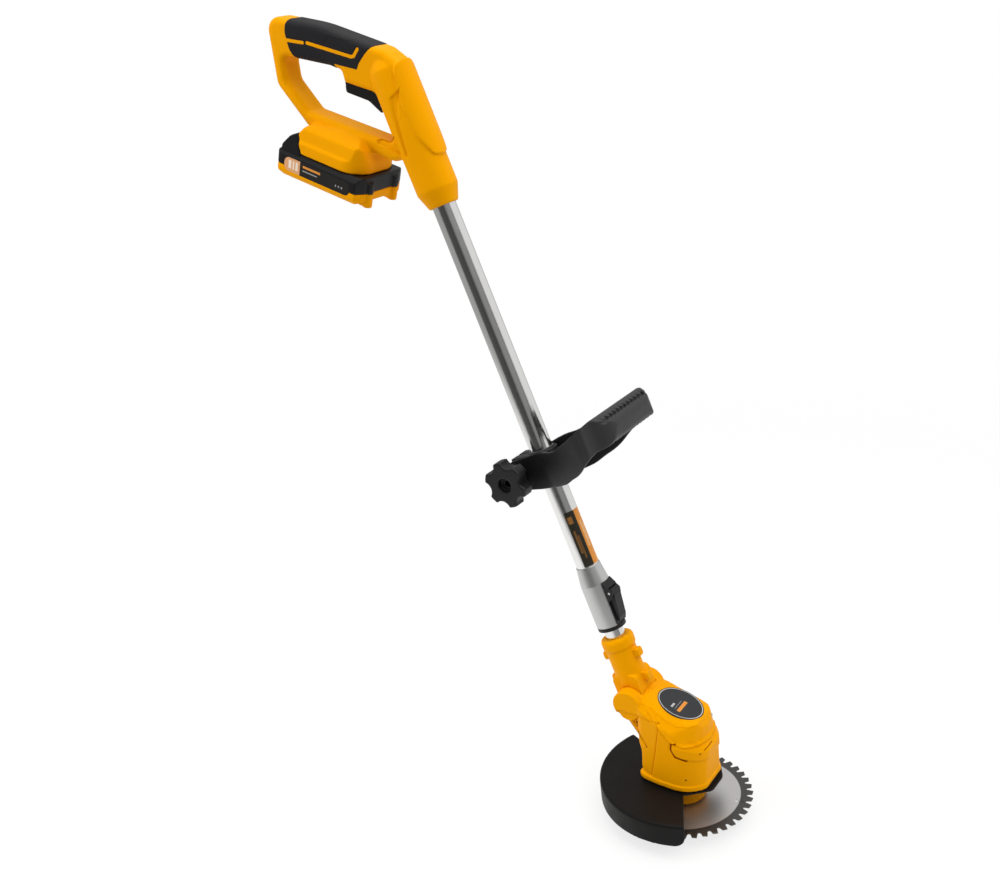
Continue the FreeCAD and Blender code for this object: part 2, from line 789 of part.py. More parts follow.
def loop_plan(offset):
    """Half of the loop's outline in plan, in from its outer face by an offset: points forward and left."""
    y0 = ARM_INNER_Y + ARM_THICK - offset
    y1 = LOOP_HALF_WIDTH - offset
    front_corner = (LOOP_FRONT - offset, y1, 22.0 - offset)
    return [(-60.0, y0, 0.0), (12.0, y0, 25.0), (80.0, y1 - 2.0, 60.0), front_corner]


def loop_band():
    """The loop seen from above: a band that is thin along the arms and thick along the grip."""
    half = loop_plan(0.0)
    outline = half + [(x, -y, r) for x, y, r in reversed(half)]
    outer = plate(outline, 360, 450)
    inner_half = loop_plan(ARM_THICK)
    grip_back = LOOP_FRONT - 21.0
    inner_half[-1] = (grip_back, LOOP_HALF_WIDTH - ARM_THICK - 0.6, 7.0)
    inner_outline = inner_half + [(x, -y, r) for x, y, r in reversed(inner_half)]
    return outer.cut(plate(inner_outline, 350, 460))


def grip_slots():
    """Curved slots sunk into the top and the bottom of the grip bar."""
    slots = []
    count = 12
    for i in range(count):
        y = -38.5 + i * 7.0
        arc = ring(9.0, 6.6, 0, 12, 0, 0).common(box(-9, 9, -10, -1.5, -1, 13))
        arc.rotate(Vector(), Z, 90)
        for low in (433.0, 400.0):
            slot = arc.copy()
            slot.translate(Vector(LOOP_FRONT - 13.5, y, low))
            slots.append(slot)
    return slots


def make_front_handle():
    loop = loop_band().common(side_plate(LOOP_SIDE, -80, 80))
    bolt_hole = cross_rod(BOLT_R + FIT, -60, 60, -CLAMP_BOLT_BACK, CLAMP_AT)
    loop = loop.cut(bolt_hole)
    for slot in grip_slots():
        loop = loop.cut(slot)
    hex_seat = cross_rod(6.0, ARM_INNER_Y + 2.4, 40, -CLAMP_BOLT_BACK, CLAMP_AT)
    keep("front_loop", placed(largest(loop.cut(hex_seat)), SHAFT))

    low = CLAMP_AT - CLAMP_HALF_HEIGHT
    high = CLAMP_AT + CLAMP_HALF_HEIGHT
    block = rod(CLAMP_R, low, high).fuse(box(-33, 0, -14, 14, low, high))
    washers = cross_rod(9.0, -(ARM_INNER_Y - GAP), ARM_INNER_Y - GAP, -CLAMP_BOLT_BACK, CLAMP_AT)
    block = block.fuse(washers).cut(rod(CLAMP_LINER_R + FIT, 300, 500)).cut(box(-60, 0, -1.2, 1.2, 300, 500))
    block = block.cut(cross_rod(BOLT_R + FIT, -60, 60, -CLAMP_BOLT_BACK, CLAMP_AT))
    keep("clamp_block", placed(largest(block), SHAFT))
    liner = ring(CLAMP_LINER_R, TUBE_R + FIT, low + 0.5, high + 1.5)
    keep("clamp_liner", placed(liner, SHAFT))

    bolt = cross_rod(BOLT_R, -40, ARM_INNER_Y + 2.5, -CLAMP_BOLT_BACK, CLAMP_AT)
    head = cross_rod(5.6, ARM_INNER_Y + 2.5, ARM_INNER_Y + 6.5, -CLAMP_BOLT_BACK, CLAMP_AT)
    keep("clamp_bolt", placed(bolt.fuse(head), SHAFT))
    knob, insert = star_knob()
    keep("star_knob", placed(knob, SHAFT))
    keep("knob_insert", placed(insert, SHAFT))


def star_knob():
    """The six-lobed knob with its threaded insert; drawn along Z, then laid along Y."""
    depth = 15.0
    disc = rod(KNOB_R, 0, depth)
    for i in range(6):
        angle = math.radians(60 * i)
        disc = disc.cut(rod(9.5, -1, depth + 1, 29.0 * math.cos(angle), 29.0 * math.sin(angle)))
    outer_face_edges = [e for e in disc.Edges if e.BoundBox.ZMax < 1e-6]
    disc = disc.makeFillet(1.5, outer_face_edges)
    hub_end = -KNOB_FACE_Y - (ARM_INNER_Y + ARM_THICK) - GAP
    hub = rod(11.0, depth - 1, hub_end)
    hole = rod(8.0, -1, 6)
    body = disc.fuse(hub).cut(hole)
    insert = ring(6.0, BOLT_R + FIT, 8, 22)
    body = body.cut(rod(6.0, 8, 22)).cut(rod(BOLT_R + 0.4, 5, 40))
    turn = Placement(Vector(-CLAMP_BOLT_BACK, KNOB_FACE_Y, CLAMP_AT), Rotation(X, -90))
    return placed(body, turn), placed(insert, turn)


# ---------------------------------------------------------------- yoke


def make_yoke():
    collar = turned([(0, 180), (16.6, 180), (18.2, 182.5), (18.4, 190), (17.6, 192.5), (16.0, 194), (0, 194)])
    barrel = rod(16.6, 135, 182)
    bosses = []
    for s in (172.5, 144.5):
        bosses.append(Part.makeCylinder(4.6, 47, Vector(-23.5, 0, s), X))
        bosses.append(box(-23.0, 23.0, -4.6, 4.6, s - 4.6, s + 4.6))
    gusset_outline = [(-15.5, 124), (-15.5, 152, 6), (15.5, 152, 6), (15.5, 124)]
    gusset = side_plate(gusset_outline, -TONGUE_HALF_WIDTH, TONGUE_HALF_WIDTH)
    tongue = cross_rod(BARREL_R, -TONGUE_HALF_WIDTH, TONGUE_HALF_WIDTH, 0, PIVOT_S)
    yoke = joined([collar, barrel, gusset, tongue] + bosses)
    for side in (-1, 1):
        y0, y1 = sorted((side * TONGUE_HALF_WIDTH, side * 40.0))
        yoke = yoke.cut(cross_rod(BARREL_R + 2 * GAP, y0, y1, 0, PIVOT_S))
    yoke = yoke.cut(rod(INNER_TUBE_R, INNER_TUBE_FROM, 300))
    yoke = yoke.cut(rod(INNER_TUBE_BORE_R - 1, 140, 160))
    yoke = yoke.cut(cross_rod(PIVOT_PIN_R + FIT, -60, 60, 0, PIVOT_S))
    screws = yoke_screws()
    for screw in screws:
        yoke = yoke.cut(screw)
    yoke = placed(yoke, SHAFT)
    keep("yoke_right", largest(right_half(yoke)))
    keep("yoke_left", largest(left_half(yoke)))
    keep("yoke_screws", *[placed(s, SHAFT) for s in screws])


def yoke_screws():
    """Four screws across the yoke, one in front of and one behind the tube at two heights."""
    screws = []
    for s in (172.5, 144.5):
        for w in (-19.5, 19.5):
            screws.append(cross_rod(1.3, -3.4, 3.4, w, s))
    return screws


# ---------------------------------------------------------------- head

HEAD_BOTTOM = 31.0

BODY_SIDE = [
    (-36.2, HEAD_BOTTOM, 0.0),
    (-33.2, 66.0, 10.0),
    (-56.0, 98.0, 8.0),
    (-46.0, 130.0, 8.0),
    (-30.0, 128.3, 6.0),
    (28.4, 108.8, 17.0),
    (38.6, 97.0, 8.0),
    (39.4, 83.2, 3.0),
    (38.0, 60.0, 20.0),
    (36.4, HEAD_BOTTOM, 0.0),
]

BODY_PLAN = [
    (-39.0, -29.5, 13.0),
    (-10.0, -34.0, 40.0),
    (41.0, -36.0, 34.0),
    (41.0, 36.0, 34.0),
    (-10.0, 34.0, 40.0),
    (-39.0, 29.5, 13.0),
]

BRIDGE_PLAN = [
    (-64.0, -21.0, 6.0),
    (-30.0, -21.0, 20.0),
    (4.0, -33.0, 10.0),
    (4.0, 33.0, 10.0),
    (-30.0, 21.0, 20.0),
    (-64.0, 21.0, 6.0),
]

CROWN_SECTION = [
    (-36.0, -130.0, 0.0),
    (-36.0, -16.0, 10.0),
    (-24.0, -1.5, 20.0),
    (0.0, 1.2, 60.0),
    (24.0, -1.5, 20.0),
    (36.0, -16.0, 10.0),
    (36.0, -130.0, 0.0),
]

BADGE_HALF_LENGTH = 26.0
BADGE_HALF_WIDTH = 21.6
BADGE_THICK = 1.6
BADGE_TOP = 1.0


# x, z and the head's half-width at each screw
HEAD_SCREWS = [(-29.6, 38.7, 31.0), (32.0, 45.0, 20.0), (-40.0, 92.0, 21.0), (28.0, 98.0, 23.0)]


def head_solid(inset):
    side = side_plate(BODY_SIDE, -60, 60, inset)
    crown = placed(front_plate(CROWN_SECTION, -100, 80, inset), LID)
    trunk = plate(BODY_PLAN, 0, 140, inset)
    bridge = plate(BRIDGE_PLAN, 60, 140, inset)
    return side.common(crown).common(trunk.fuse(bridge))


def badge_solid():
    """The oval name plate on the lid, left blank."""
    disc = Part.Ellipse(Vector(), BADGE_HALF_LENGTH, BADGE_HALF_WIDTH).toShape()
    solid = Part.Face(Part.Wire(disc)).extrude(Z * BADGE_THICK)
    solid.translate(Z * (BADGE_TOP - BADGE_THICK))
    return placed(solid, LID)


def pivot_xz():
    return shaft_point(0.0, PIVOT_S)


def make_head():
    px, pz = pivot_xz()
    outer = head_solid(0.0)
    inner = head_solid(SHELL_WALL)
    cheeks = []
    hollows = []
    for side in (-1, 1):
        y0, y1 = sorted((side * (TONGUE_HALF_WIDTH + GAP), side * BARREL_HALF_LENGTH))
        cheeks.append(cross_rod(BARREL_R, y0, y1, px, pz))
        hollows.append(cross_rod(PIVOT_PIN_R, *sorted((side * 10.0, side * PIVOT_PIN_REACH)), px, pz))
    tongue_room = cross_rod(BARREL_R + GAP + 0.4, -TONGUE_HALF_WIDTH - GAP, TONGUE_HALF_WIDTH + GAP, px, pz)
    tongue_wall = cross_rod(BARREL_R + GAP + 2.0, -TONGUE_HALF_WIDTH - 2.4, TONGUE_HALF_WIDTH + 2.4, px, pz)
    ribs = [tongue_wall] + [cross_rod(4.2, -40, 40, x, z) for x, z, _ in HEAD_SCREWS]
    shell = outer.cut(inner).fuse([rib.common(outer) for rib in ribs]).fuse(cheeks)
    shell = shell.cut(tongue_room).cut(tongue_swing()).cut(rod(24.6, 0, 60)).cut(badge_solid())
    tools = hollows + vent_slots() + guard_screw_solids()
    for tool in tools + across_screws(HEAD_SCREWS) + screw_recesses(HEAD_SCREWS):
        shell = shell.cut(tool)
    keep("head_shell_right", largest(right_half(shell)))
    keep("head_shell_left", largest(left_half(shell)))
    keep("head_badge", badge_solid())
    keep("head_screws", *across_screws(HEAD_SCREWS))
    keep("pivot_bolt", pivot_bolt())


def tongue_swing():
    """Room above the barrel for the yoke's tongue as the head tilts."""
    px, pz = pivot_xz()
    opening = [(px, pz), (px + 14.0, pz + 45.0), (px - 70.0, pz + 45.0), (px - 70.0, pz - 4.0)]
    return side_plate(opening, -TONGUE_HALF_WIDTH - GAP, TONGUE_HALF_WIDTH + GAP)


def pivot_bolt():
    """The bolt through the barrel, fixed in the head's two cheeks."""
    px, pz = pivot_xz()
    return cross_rod(PIVOT_PIN_R, -PIVOT_PIN_REACH, PIVOT_PIN_REACH, px, pz)


REAR_SLOT = [(-41.2, 93.4), (-39.6, 94.4), (-22.6, 72.2), (-24.2, 71.2)]

SIDE_SCOOP = [
    (13.0, 91.0),
    (5.4, 89.0),
    (3.4, 79.0),
    (8.4, 71.4),
    (23.0, 68.9),
    (23.0, 69.9),
    (12.0, 73.4),
    (7.6, 79.5),
    (8.0, 86.0),
    (13.0, 89.8),
]


def vent_slots():
    """The long slot under the barrel and the curved scoop in each side."""
    slots = []
    for side in (-1, 1):
        y0, y1 = sorted((side * 10.0, side * 60.0))
        slots.append(side_plate(REAR_SLOT, y0, y1))
        slots.append(side_plate(SIDE_SCOOP, y0, y1))
    return slots


def make_drive():
    boss = turned([(0, 3), (24.0, 3), (25.0, 4.5), (25.0, 20), (24.5, 21), (24.5, 37.5), (0, 37.5)])
    boss = boss.cut(rod(17.5, 0, 8.6)).cut(rod(13.0, 8.6, 18.0)).cut(rod(8.0, 17, 24))
    boss = boss.cut(rod(10.5, 23.5, 40)).cut(rod(6.0, 23.5, 40, MOTOR_X))
    keep("gearcase_lower", boss)
    plate_solid = rod(24.5, 37.5, 44.0).fuse(rod(MOTOR_R + 2, 43.0, 52.0, MOTOR_X).common(rod(31.0, 40, 60, -5)))
    plate_solid = plate_solid.cut(rod(9.5, 37, 44.5)).cut(rod(3.0, 37, 60, MOTOR_X)).cut(rod(5.5, 44, 60))
    plate_solid = plate_solid.cut(rod(10.5, 36, 38.5)).cut(rod(6.0, 46.0, 60, MOTOR_X))
    keep("gearcase_upper", plate_solid)
    keep("spindle_bearings", ring(13.0, 5.0, 9.5, 17.5), ring(9.5, 4.0, 38.6, 43.8))
    spindle = turned([(0, -SPINDLE_DROP), (STUB_R - 0.4, -SPINDLE_DROP), (STUB_R, -SPINDLE_DROP + 0.4),
                      (STUB_R, -9.7), (4.0, -9.7), (4.0, 5.0), (5.0, 5.0), (5.0, 36.5),
                      (4.0 - FIT, 36.5), (4.0 - FIT, 44.2), (0, 44.2)])
    keep("spindle", spindle.cut(ring(6.0, 5.0 - FIT, 9.0, 18.0)))
    gear = spur_gear(GEAR_TEETH, GEAR_FROM, GEAR_TO, 5.0, 0.0)
    keep("drive_gear", gear)
    pinion = spur_gear(PINION_TEETH, GEAR_FROM + 0.5, GEAR_TO - 0.5, 1.6, 180.0 / PINION_TEETH)
    pinion.translate(X * MOTOR_X)
    keep("motor_pinion", pinion)

    can = ring(MOTOR_R, MOTOR_R - 1.2, MOTOR_FROM, MOTOR_TO - 5, MOTOR_X)
    can = can.fuse(ring(MOTOR_R, 3.2, MOTOR_FROM, MOTOR_FROM + 1.5, MOTOR_X))
    keep("motor_can", can)
    keep("motor_end_cap", ring(MOTOR_R, 3.2, MOTOR_TO - 5, MOTOR_TO, MOTOR_X))
    magnets = ring(MOTOR_R - 1.2, 13.0, MOTOR_FROM + 8, MOTOR_TO - 14, MOTOR_X)
    gaps = box(-80, 80, -4, 4, 0, 200)
    keep("motor_magnets", magnets.cut(gaps))
    armature = rod(12.4, MOTOR_FROM + 10, MOTOR_TO - 16, MOTOR_X)
    shaft = rod(1.6, GEAR_FROM, MOTOR_TO + 2.0, MOTOR_X)
    commutator = rod(5.0, MOTOR_TO - 16, MOTOR_TO - 7, MOTOR_X)
    keep("motor_rotor", joined([armature, shaft, commutator]))
    keep("motor_bearings", ring(3.2, 1.6 + FIT, MOTOR_FROM, MOTOR_FROM + 1.5, MOTOR_X),
         ring(3.2, 1.6 + FIT, MOTOR_TO - 5, MOTOR_TO, MOTOR_X))


def involute_point(base_radius, radius, start_angle, hand):
    """A point of an involute flank at a radius; hand is +1 or -1."""
    roll = math.sqrt(max((radius / base_radius) ** 2 - 1, 0.0))
    angle = start_angle + hand * (roll - math.atan(roll))
    return Vector(radius * math.cos(angle), radius * math.sin(angle), 0)


def spur_gear(teeth, low, high, bore, turn):
    """A stub-tooth involute spur gear with its bore, turned by an angle in degrees."""
    pitch_r = MODULE * teeth / 2
    base_r = pitch_r * math.cos(math.radians(PRESSURE_ANGLE))
    root_r = pitch_r - 1.0 * MODULE
    tip_r = pitch_r + 0.8 * MODULE
    backlash = 0.05
    involute = math.tan(math.radians(PRESSURE_ANGLE)) - math.radians(PRESSURE_ANGLE)
    half_tooth = math.pi / (2 * teeth) - backlash / pitch_r + involute
    start_r = max(base_r, root_r)
    radii = [start_r + (tip_r - start_r) * i / 4 for i in range(5)]
    points = []
    for tooth in range(teeth):
        centre = 2 * math.pi * tooth / teeth
        rising = [involute_point(base_r, r, centre - half_tooth, 1) for r in radii]
        falling = [involute_point(base_r, r, centre + half_tooth, -1) for r in reversed(radii)]
        foot_angle = half_tooth * 1.02
        points.append(Vector(root_r * math.cos(centre - foot_angle), root_r * math.sin(centre - foot_angle), 0))
        points += rising + falling
        points.append(Vector(root_r * math.cos(centre + foot_angle), root_r * math.sin(centre + foot_angle), 0))
    points.append(points[0])
    gear = Part.Face(Part.makePolygon(points)).extrude(Z * (high - low))
    gear.translate(Z * low)
    gear.rotate(Vector(), Z, turn)
    return gear.cut(rod(bore, low - 1, high + 1))


# ---------------------------------------------------------------- guard and blade


def polar(radius, azimuth):
    return radius * math.cos(math.radians(azimuth)), radius * math.sin(math.radians(azimuth))


def make_guard():
    disc = rod(GUARD_R, GUARD_SKIRT, GUARD_TOP)
    top_edge = [e for e in disc.Edges if abs(e.BoundBox.ZMin - GUARD_TOP) < 1e-4 and e.Length > 100]
    disc = disc.makeFillet(3.0, top_edge)
    hollow = rod(GUARD_R - GUARD_WALL, GUARD_SKIRT - 1, GUARD_TOP - GUARD_WALL)
    cover = disc.cut(hollow).common(side_sector(GUARD_FROM, GUARD_TO, 200, -20, 60))
    tab_outline = [(-34, -33, 12), (20, -34, 4), (42.5, -14, 8), (42.5, 12, 12), (30, 33, 12), (-34, 33, 12)]
    tab = plate(tab_outline, GUARD_TOP - GUARD_WALL, GUARD_TOP)
    seat = plate([(-34, -31, 12), (36, -31, 30), (36, 31, 30), (-34, 31, 12)], GUARD_TOP - 0.1, HEAD_BOTTOM)
    guard = joined([cover, tab, seat])
    corner = corner_cut(GUARD_TO, 1).fuse(corner_cut(GUARD_FROM, -1))
    guard = guard.cut(rod(25.0, 0, 60)).cut(corner)
    for tool in guard_screw_solids() + guard_slots():
        guard = guard.cut(tool)
    keep("blade_guard", largest(guard))
    keep("guard_screws", *guard_screw_solids())


def guard_slots():
    """Three narrow drain slots through the guard's top, behind the head."""
    slots = []
    for x, y, turn in ((-78.0, 4.0, 20.0), (-71.5, 7.5, 20.0), (-71.0, -21.0, 35.0)):
        slot = box(-1.6, 1.6, -0.5, 0.5, GUARD_TOP - GUARD_WALL - 1, GUARD_TOP + 1)
        slot.rotate(Vector(), Z, turn)
        slot.translate(Vector(x, y, 0))
        slots.append(slot)
    return slots


def corner_cut(azimuth, hand):
    """What rounds the lower corner of the skirt at one end of the guard."""
    radius = 11.0
    block = box(70, 110, -radius, 1, GUARD_SKIRT - 1, GUARD_SKIRT + radius)
    block = block.cut(Part.makeCylinder(radius, 60, Vector(60, -radius, GUARD_SKIRT + radius), X))
    if hand < 0:
        block = block.mirror(Vector(), Y)
    block.rotate(Vector(), Z, azimuth)
    return block


def guard_screw_solids():
    screws = []
    for azimuth in (90.0, 180.0, 270.0):
        x, y = polar(28.3, azimuth)
        under_head = GUARD_TOP - GUARD_WALL
        screws.append(rod(1.5, under_head, 34.5, x, y).fuse(rod(3.0, under_head - 2.0, under_head, x, y)))
    return screws


def blade_outline():
    """The toothed rim: each tooth has a straight back, a hooked face and a round gullet."""
    edges = []
    pitch = 360.0 / BLADE_TEETH
    for i in range(BLADE_TEETH):
        start = i * pitch
        tip = Vector(*polar(BLADE_R, start), 0)
        face_foot = Vector(*polar(BLADE_R - GULLET_DEPTH + 1.8, start + 1.5), 0)
        gullet = Vector(*polar(BLADE_R - GULLET_DEPTH, start + 3.0), 0)
        rise = Vector(*polar(BLADE_R - GULLET_DEPTH + 2.4, start + 4.7), 0)
        back = Vector(*polar(BLADE_R - 1.3, start + 5.2), 0)
        following = Vector(*polar(BLADE_R, start + pitch), 0)
        edges.append(Part.LineSegment(tip, face_foot).toShape())
        edges.append(Part.Arc(face_foot, gullet, rise).toShape())
        edges.append(Part.LineSegment(rise, back).toShape())
        edges.append(Part.LineSegment(back, following).toShape())
    return Part.Wire(edges)


def make_blade():
    half = BLADE_THICK / 2
    disc = Part.Face(blade_outline()).extrude(Z * BLADE_THICK)
    disc.translate(Z * -half)
    disc = disc.cut(rod(BLADE_BORE_R, -5, 5))
    slot_r = 58.0
    for i in range(4):
        azimuth = 10.9 + 90.0 * i
        x, y = polar(slot_r, azimuth)
        disc = disc.cut(rod(1.6, -5, 5, x, y))
        slit = box(slot_r, BLADE_R + 2, -0.5, 0.5, -5, 5)
        slit.rotate(Vector(), Z, azimuth)
        disc = disc.cut(slit)
    keep("saw_blade", largest(disc))
    keep("inner_flange", ring(16.0, 4.0, half, 5.0).fuse(ring(BLADE_BORE_R, 4.0, -0.5, half)))
    cup = ring(16.0, 4.0, -3.4, -half).cut(ring(12.0, 10.0, -half - 0.4, 0)).cut(rod(BLADE_BORE_R + 0.2, -1.2, 0))
    keep("outer_flange", largest(cup))
    nut = plate([(*polar(7.5, 60 * i), 0.0) for i in range(6)], -9.7, -3.4)
    keep("blade_nut", nut.cut(rod(4.0, -20, 0)))


# ---------------------------------------------------------------- springs


def make_springs():
    a, up = RELEASE_AT
    start = Vector(a + 11.3, 0, up)
    keep("release_spring", placed(spring_tube(3.0, 0.8, start, start + X * 2.9), BATTERY))
    low = Vector(-309.0, 0, 777.5)
    keep("trigger_spring", spring_tube(2.2, 0.7, low, low + Z * 4.5))


def main():
    make_rear_handle()
    make_trigger()
    make_battery()
    make_shaft()
    make_front_handle()
    make_yoke()
    make_head()
    make_drive()
    make_guard()
    make_blade()
    make_springs()
    os.makedirs("parts", exist_ok=True)
    for name, shape in PARTS.items():
        shape.exportStep("parts/" + name + ".step")
        print(name, len(shape.Solids), round(shape.Volume / 1000, 2), shape.isValid())


main()
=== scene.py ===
import json
import math

import bmesh
import bpy
import numpy as np
from mathutils import Matrix, Vector
from mathutils.bvhtree import BVHTree


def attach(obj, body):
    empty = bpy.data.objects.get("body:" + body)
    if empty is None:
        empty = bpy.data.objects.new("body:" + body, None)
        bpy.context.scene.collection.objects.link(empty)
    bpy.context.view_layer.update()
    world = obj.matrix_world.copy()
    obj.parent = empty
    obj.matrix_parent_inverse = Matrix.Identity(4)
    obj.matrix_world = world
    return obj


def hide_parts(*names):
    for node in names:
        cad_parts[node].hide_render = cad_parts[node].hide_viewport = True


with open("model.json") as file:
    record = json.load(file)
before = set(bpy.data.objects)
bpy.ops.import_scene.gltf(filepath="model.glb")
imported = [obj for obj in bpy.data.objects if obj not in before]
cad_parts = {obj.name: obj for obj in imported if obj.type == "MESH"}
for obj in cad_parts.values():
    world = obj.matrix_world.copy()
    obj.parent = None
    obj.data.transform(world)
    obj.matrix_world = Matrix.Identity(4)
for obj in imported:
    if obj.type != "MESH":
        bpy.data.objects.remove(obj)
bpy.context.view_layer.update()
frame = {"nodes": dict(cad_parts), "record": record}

NODES = frame["nodes"]
SLOT_OF = {s["node"]: s["material_slot"] for s in frame["record"]["subparts"]}

# ---------------------------------------------------------------- local frames, in metres

SPINDLE_DROP = 0.015
SHAFT_LEAN = math.radians(18.5)
BATTERY_TILT = math.radians(19.5)
LID_TILT = math.radians(18.4)


def local_frame(x, z, turn):
    """A frame in the XZ plane: its X axis turned about Y from the row's, heights from the blade's plane."""
    return Matrix.Translation((x, 0.0, z + SPINDLE_DROP)) @ Matrix.Rotation(turn, 4, "Y")


SHAFT = local_frame(-0.00735, 0.0, -SHAFT_LEAN)
BATTERY = local_frame(-0.309, 0.668, BATTERY_TILT)
LID = local_frame(0.0036, 0.1164, LID_TILT)
UPRIGHT = local_frame(0.0, 0.0, 0.0)


def into(frame_matrix, points):
    """Points of the row frame, in a local frame's millimetres."""
    inverse = np.array(frame_matrix.inverted(), float)
    return (points @ inverse[:3, :3].T + inverse[:3, 3]) * 1000.0


# ---------------------------------------------------------------- camera

CAMERA_AT = Vector((0.5264, -0.9608, 0.8733))
CAMERA_AZIMUTH = math.radians(36.739)
CAMERA_ELEVATION = math.radians(20.812)
CAMERA_ROLL = math.radians(7.115)


def make_camera():
    a, e, r = CAMERA_AZIMUTH, CAMERA_ELEVATION, CAMERA_ROLL
    back = Vector((math.sin(a) * math.cos(e), -math.cos(a) * math.cos(e), math.sin(e)))
    right = Vector((math.cos(a), math.sin(a), 0.0))
    down = (-back).cross(right)
    rolled_right = right * math.cos(r) + down * math.sin(r)
    rolled_down = down * math.cos(r) - right * math.sin(r)
    data = bpy.data.cameras.new("camera")
    data.sensor_width = 36.0
    data.lens = 43.0
    data.clip_start = 0.05
    data.clip_end = 50.0
    camera = bpy.data.objects.new("camera", data)
    bpy.context.scene.collection.objects.link(camera)
    turn = Matrix((rolled_right, -rolled_down, back)).transposed()
    camera.matrix_world = Matrix.Translation(CAMERA_AT) @ turn.to_4x4()
    bpy.context.scene.camera = camera


# ---------------------------------------------------------------- materials


class Nodes:
    """A material's node tree with short calls for the nodes used here."""

    def __init__(self, name):
        self.material = bpy.data.materials.new(name)
        self.material.use_nodes = True
        self.tree = self.material.node_tree
        self.shader = self.tree.nodes["Principled BSDF"]
        self.coord = self.add("ShaderNodeTexCoord")

    def add(self, kind, **values):
        node = self.tree.nodes.new(kind)
        for key, value in values.items():
            setattr(node, key, value)
        return node

    def link(self, source, target):
        self.tree.links.new(source, target)

    def set(self, **values):
        for key, value in values.items():
            self.shader.inputs[key.replace("_", " ")].default_value = value
        return self

    def noise(self, scale, detail=3.0, roughness=0.55, stretch=(1, 1, 1), turn=(0, 0, 0)):
        """A noise value over the object's own space."""
        mapping = self.add("ShaderNodeMapping")
        mapping.inputs["Scale"].default_value = stretch
        mapping.inputs["Rotation"].default_value = turn
        self.link(self.coord.outputs["Object"], mapping.inputs["Vector"])
        noise = self.add("ShaderNodeTexNoise")
        noise.inputs["Scale"].default_value = scale
        noise.inputs["Detail"].default_value = detail
        noise.inputs["Roughness"].default_value = roughness
        self.link(mapping.outputs["Vector"], noise.inputs["Vector"])
        return noise.outputs["Fac"]

    def spread(self, value, low, high, to_low, to_high):
        node = self.add("ShaderNodeMapRange")
        node.inputs["From Min"].default_value = low
        node.inputs["From Max"].default_value = high
        node.inputs["To Min"].default_value = to_low
        node.inputs["To Max"].default_value = to_high
        self.link(value, node.inputs["Value"])
        return node.outputs["Result"]

    def math(self, operation, a, b=None):
        node = self.add("ShaderNodeMath", operation=operation)
        for socket, value in zip(node.inputs, (a, b)):
            if value is None:
                continue
            if isinstance(value, (int, float)):
                socket.default_value = value
            else:
                self.link(value, socket)
        return node.outputs["Value"]

    def mix(self, factor, a, b):
        node = self.add("ShaderNodeMix", data_type="RGBA")
        for socket, value in ((node.inputs[0], factor), (node.inputs[6], a), (node.inputs[7], b)):
            if isinstance(value, (int, float)):
                socket.default_value = value
            elif isinstance(value, (tuple, list)):
                socket.default_value = (*value, 1.0) if len(value) == 3 else value
            else:
                self.link(value, socket)
        return node.outputs[2]

    def bump(self, height, distance, strength=1.0, under=None):
        node = self.add("ShaderNodeBump")
        node.inputs["Distance"].default_value = distance
        node.inputs["Strength"].default_value = strength
        self.link(height, node.inputs["Height"])
        if under is not None:
            self.link(under, node.inputs["Normal"])
        return node.outputs["Normal"]

    def bevel(self, radius):
        node = self.add("ShaderNodeBevel")
        node.samples = 4
        node.inputs["Radius"].default_value = radius
        return node.outputs["Normal"]

    def along(self, local, axis):
        """How far a point lies along an axis of a local frame, in millimetres."""
        direction = local.to_3x3().col[axis]
        dot = self.add("ShaderNodeVectorMath", operation="DOT_PRODUCT")
        self.link(self.coord.outputs["Object"], dot.inputs[0])
        dot.inputs[1].default_value = direction
        scaled = self.math("MULTIPLY", dot.outputs["Value"], 1000.0)
        return self.math("SUBTRACT", scaled, local.translation.dot(direction) * 1000.0)

    def stored(self, name):
        """A value kept at the mesh's vertices."""
        node = self.add("ShaderNodeAttribute", attribute_name=name)
        return node.outputs["Fac"]

    def below(self, value, limit, soft=0.08):
        """1 where a value is under a limit, else 0, with a soft step."""
        return self.spread(value, limit - soft, limit + soft, 1.0, 0.0)

    def patch(self, u, v, u0, u1, v0, v1):
        """1 inside a rectangle of two coordinates, else 0."""
        inside = self.math("MULTIPLY", self.below(u, u1), self.math("SUBTRACT", 1.0, self.below(u, u0)))
        across = self.math("MULTIPLY", self.below(v, v1), self.math("SUBTRACT", 1.0, self.below(v, v0)))
        return self.math("MULTIPLY", inside, across)

    def edge_wear(self):
        """From 0 on flat ground to 1 on a sharp convex edge."""
        geometry = self.add("ShaderNodeNewGeometry")
        return self.spread(geometry.outputs["Pointiness"], 0.52, 0.62, 0.0, 1.0)


def moulded(name, colour, dark, rough, grain, edge=None, bevel=0.0006, spec=0.5, bump=0.00006, tint=None,
            marks=None):
    """Injection-moulded plastic: a little colour drift, a fine grain, and edges rubbed lighter.

    marks, if given, takes the material and its colour, and gives the colour back with printing, with painted
    shade in grooves and slots, or with painted sheen."""
    n = Nodes(name)
    drift = n.noise(14.0, 4.0)
    body = n.mix(drift, dark, colour)
    if marks is not None:
        body = marks(n, body)
    if edge is not None:
        rub = n.math("MULTIPLY", n.edge_wear(), n.noise(160.0, 3.0))
        body = n.mix(rub, body, edge)
    n.link(body, n.shader.inputs["Base Color"])
    smudge = n.noise(38.0, 5.0, 0.62)
    n.link(n.spread(smudge, 0.3, 0.7, rough - 0.05, rough + 0.07), n.shader.inputs["Roughness"])
    fine = n.noise(grain, 2.0, 0.6)
    base = n.bevel(bevel) if bevel else None
    n.link(n.bump(fine, bump, 0.8, base), n.shader.inputs["Normal"])
    n.set(Specular_IOR_Level=spec)
    if tint is not None:
        n.set(Specular_Tint=(*tint, 1.0))
    return n


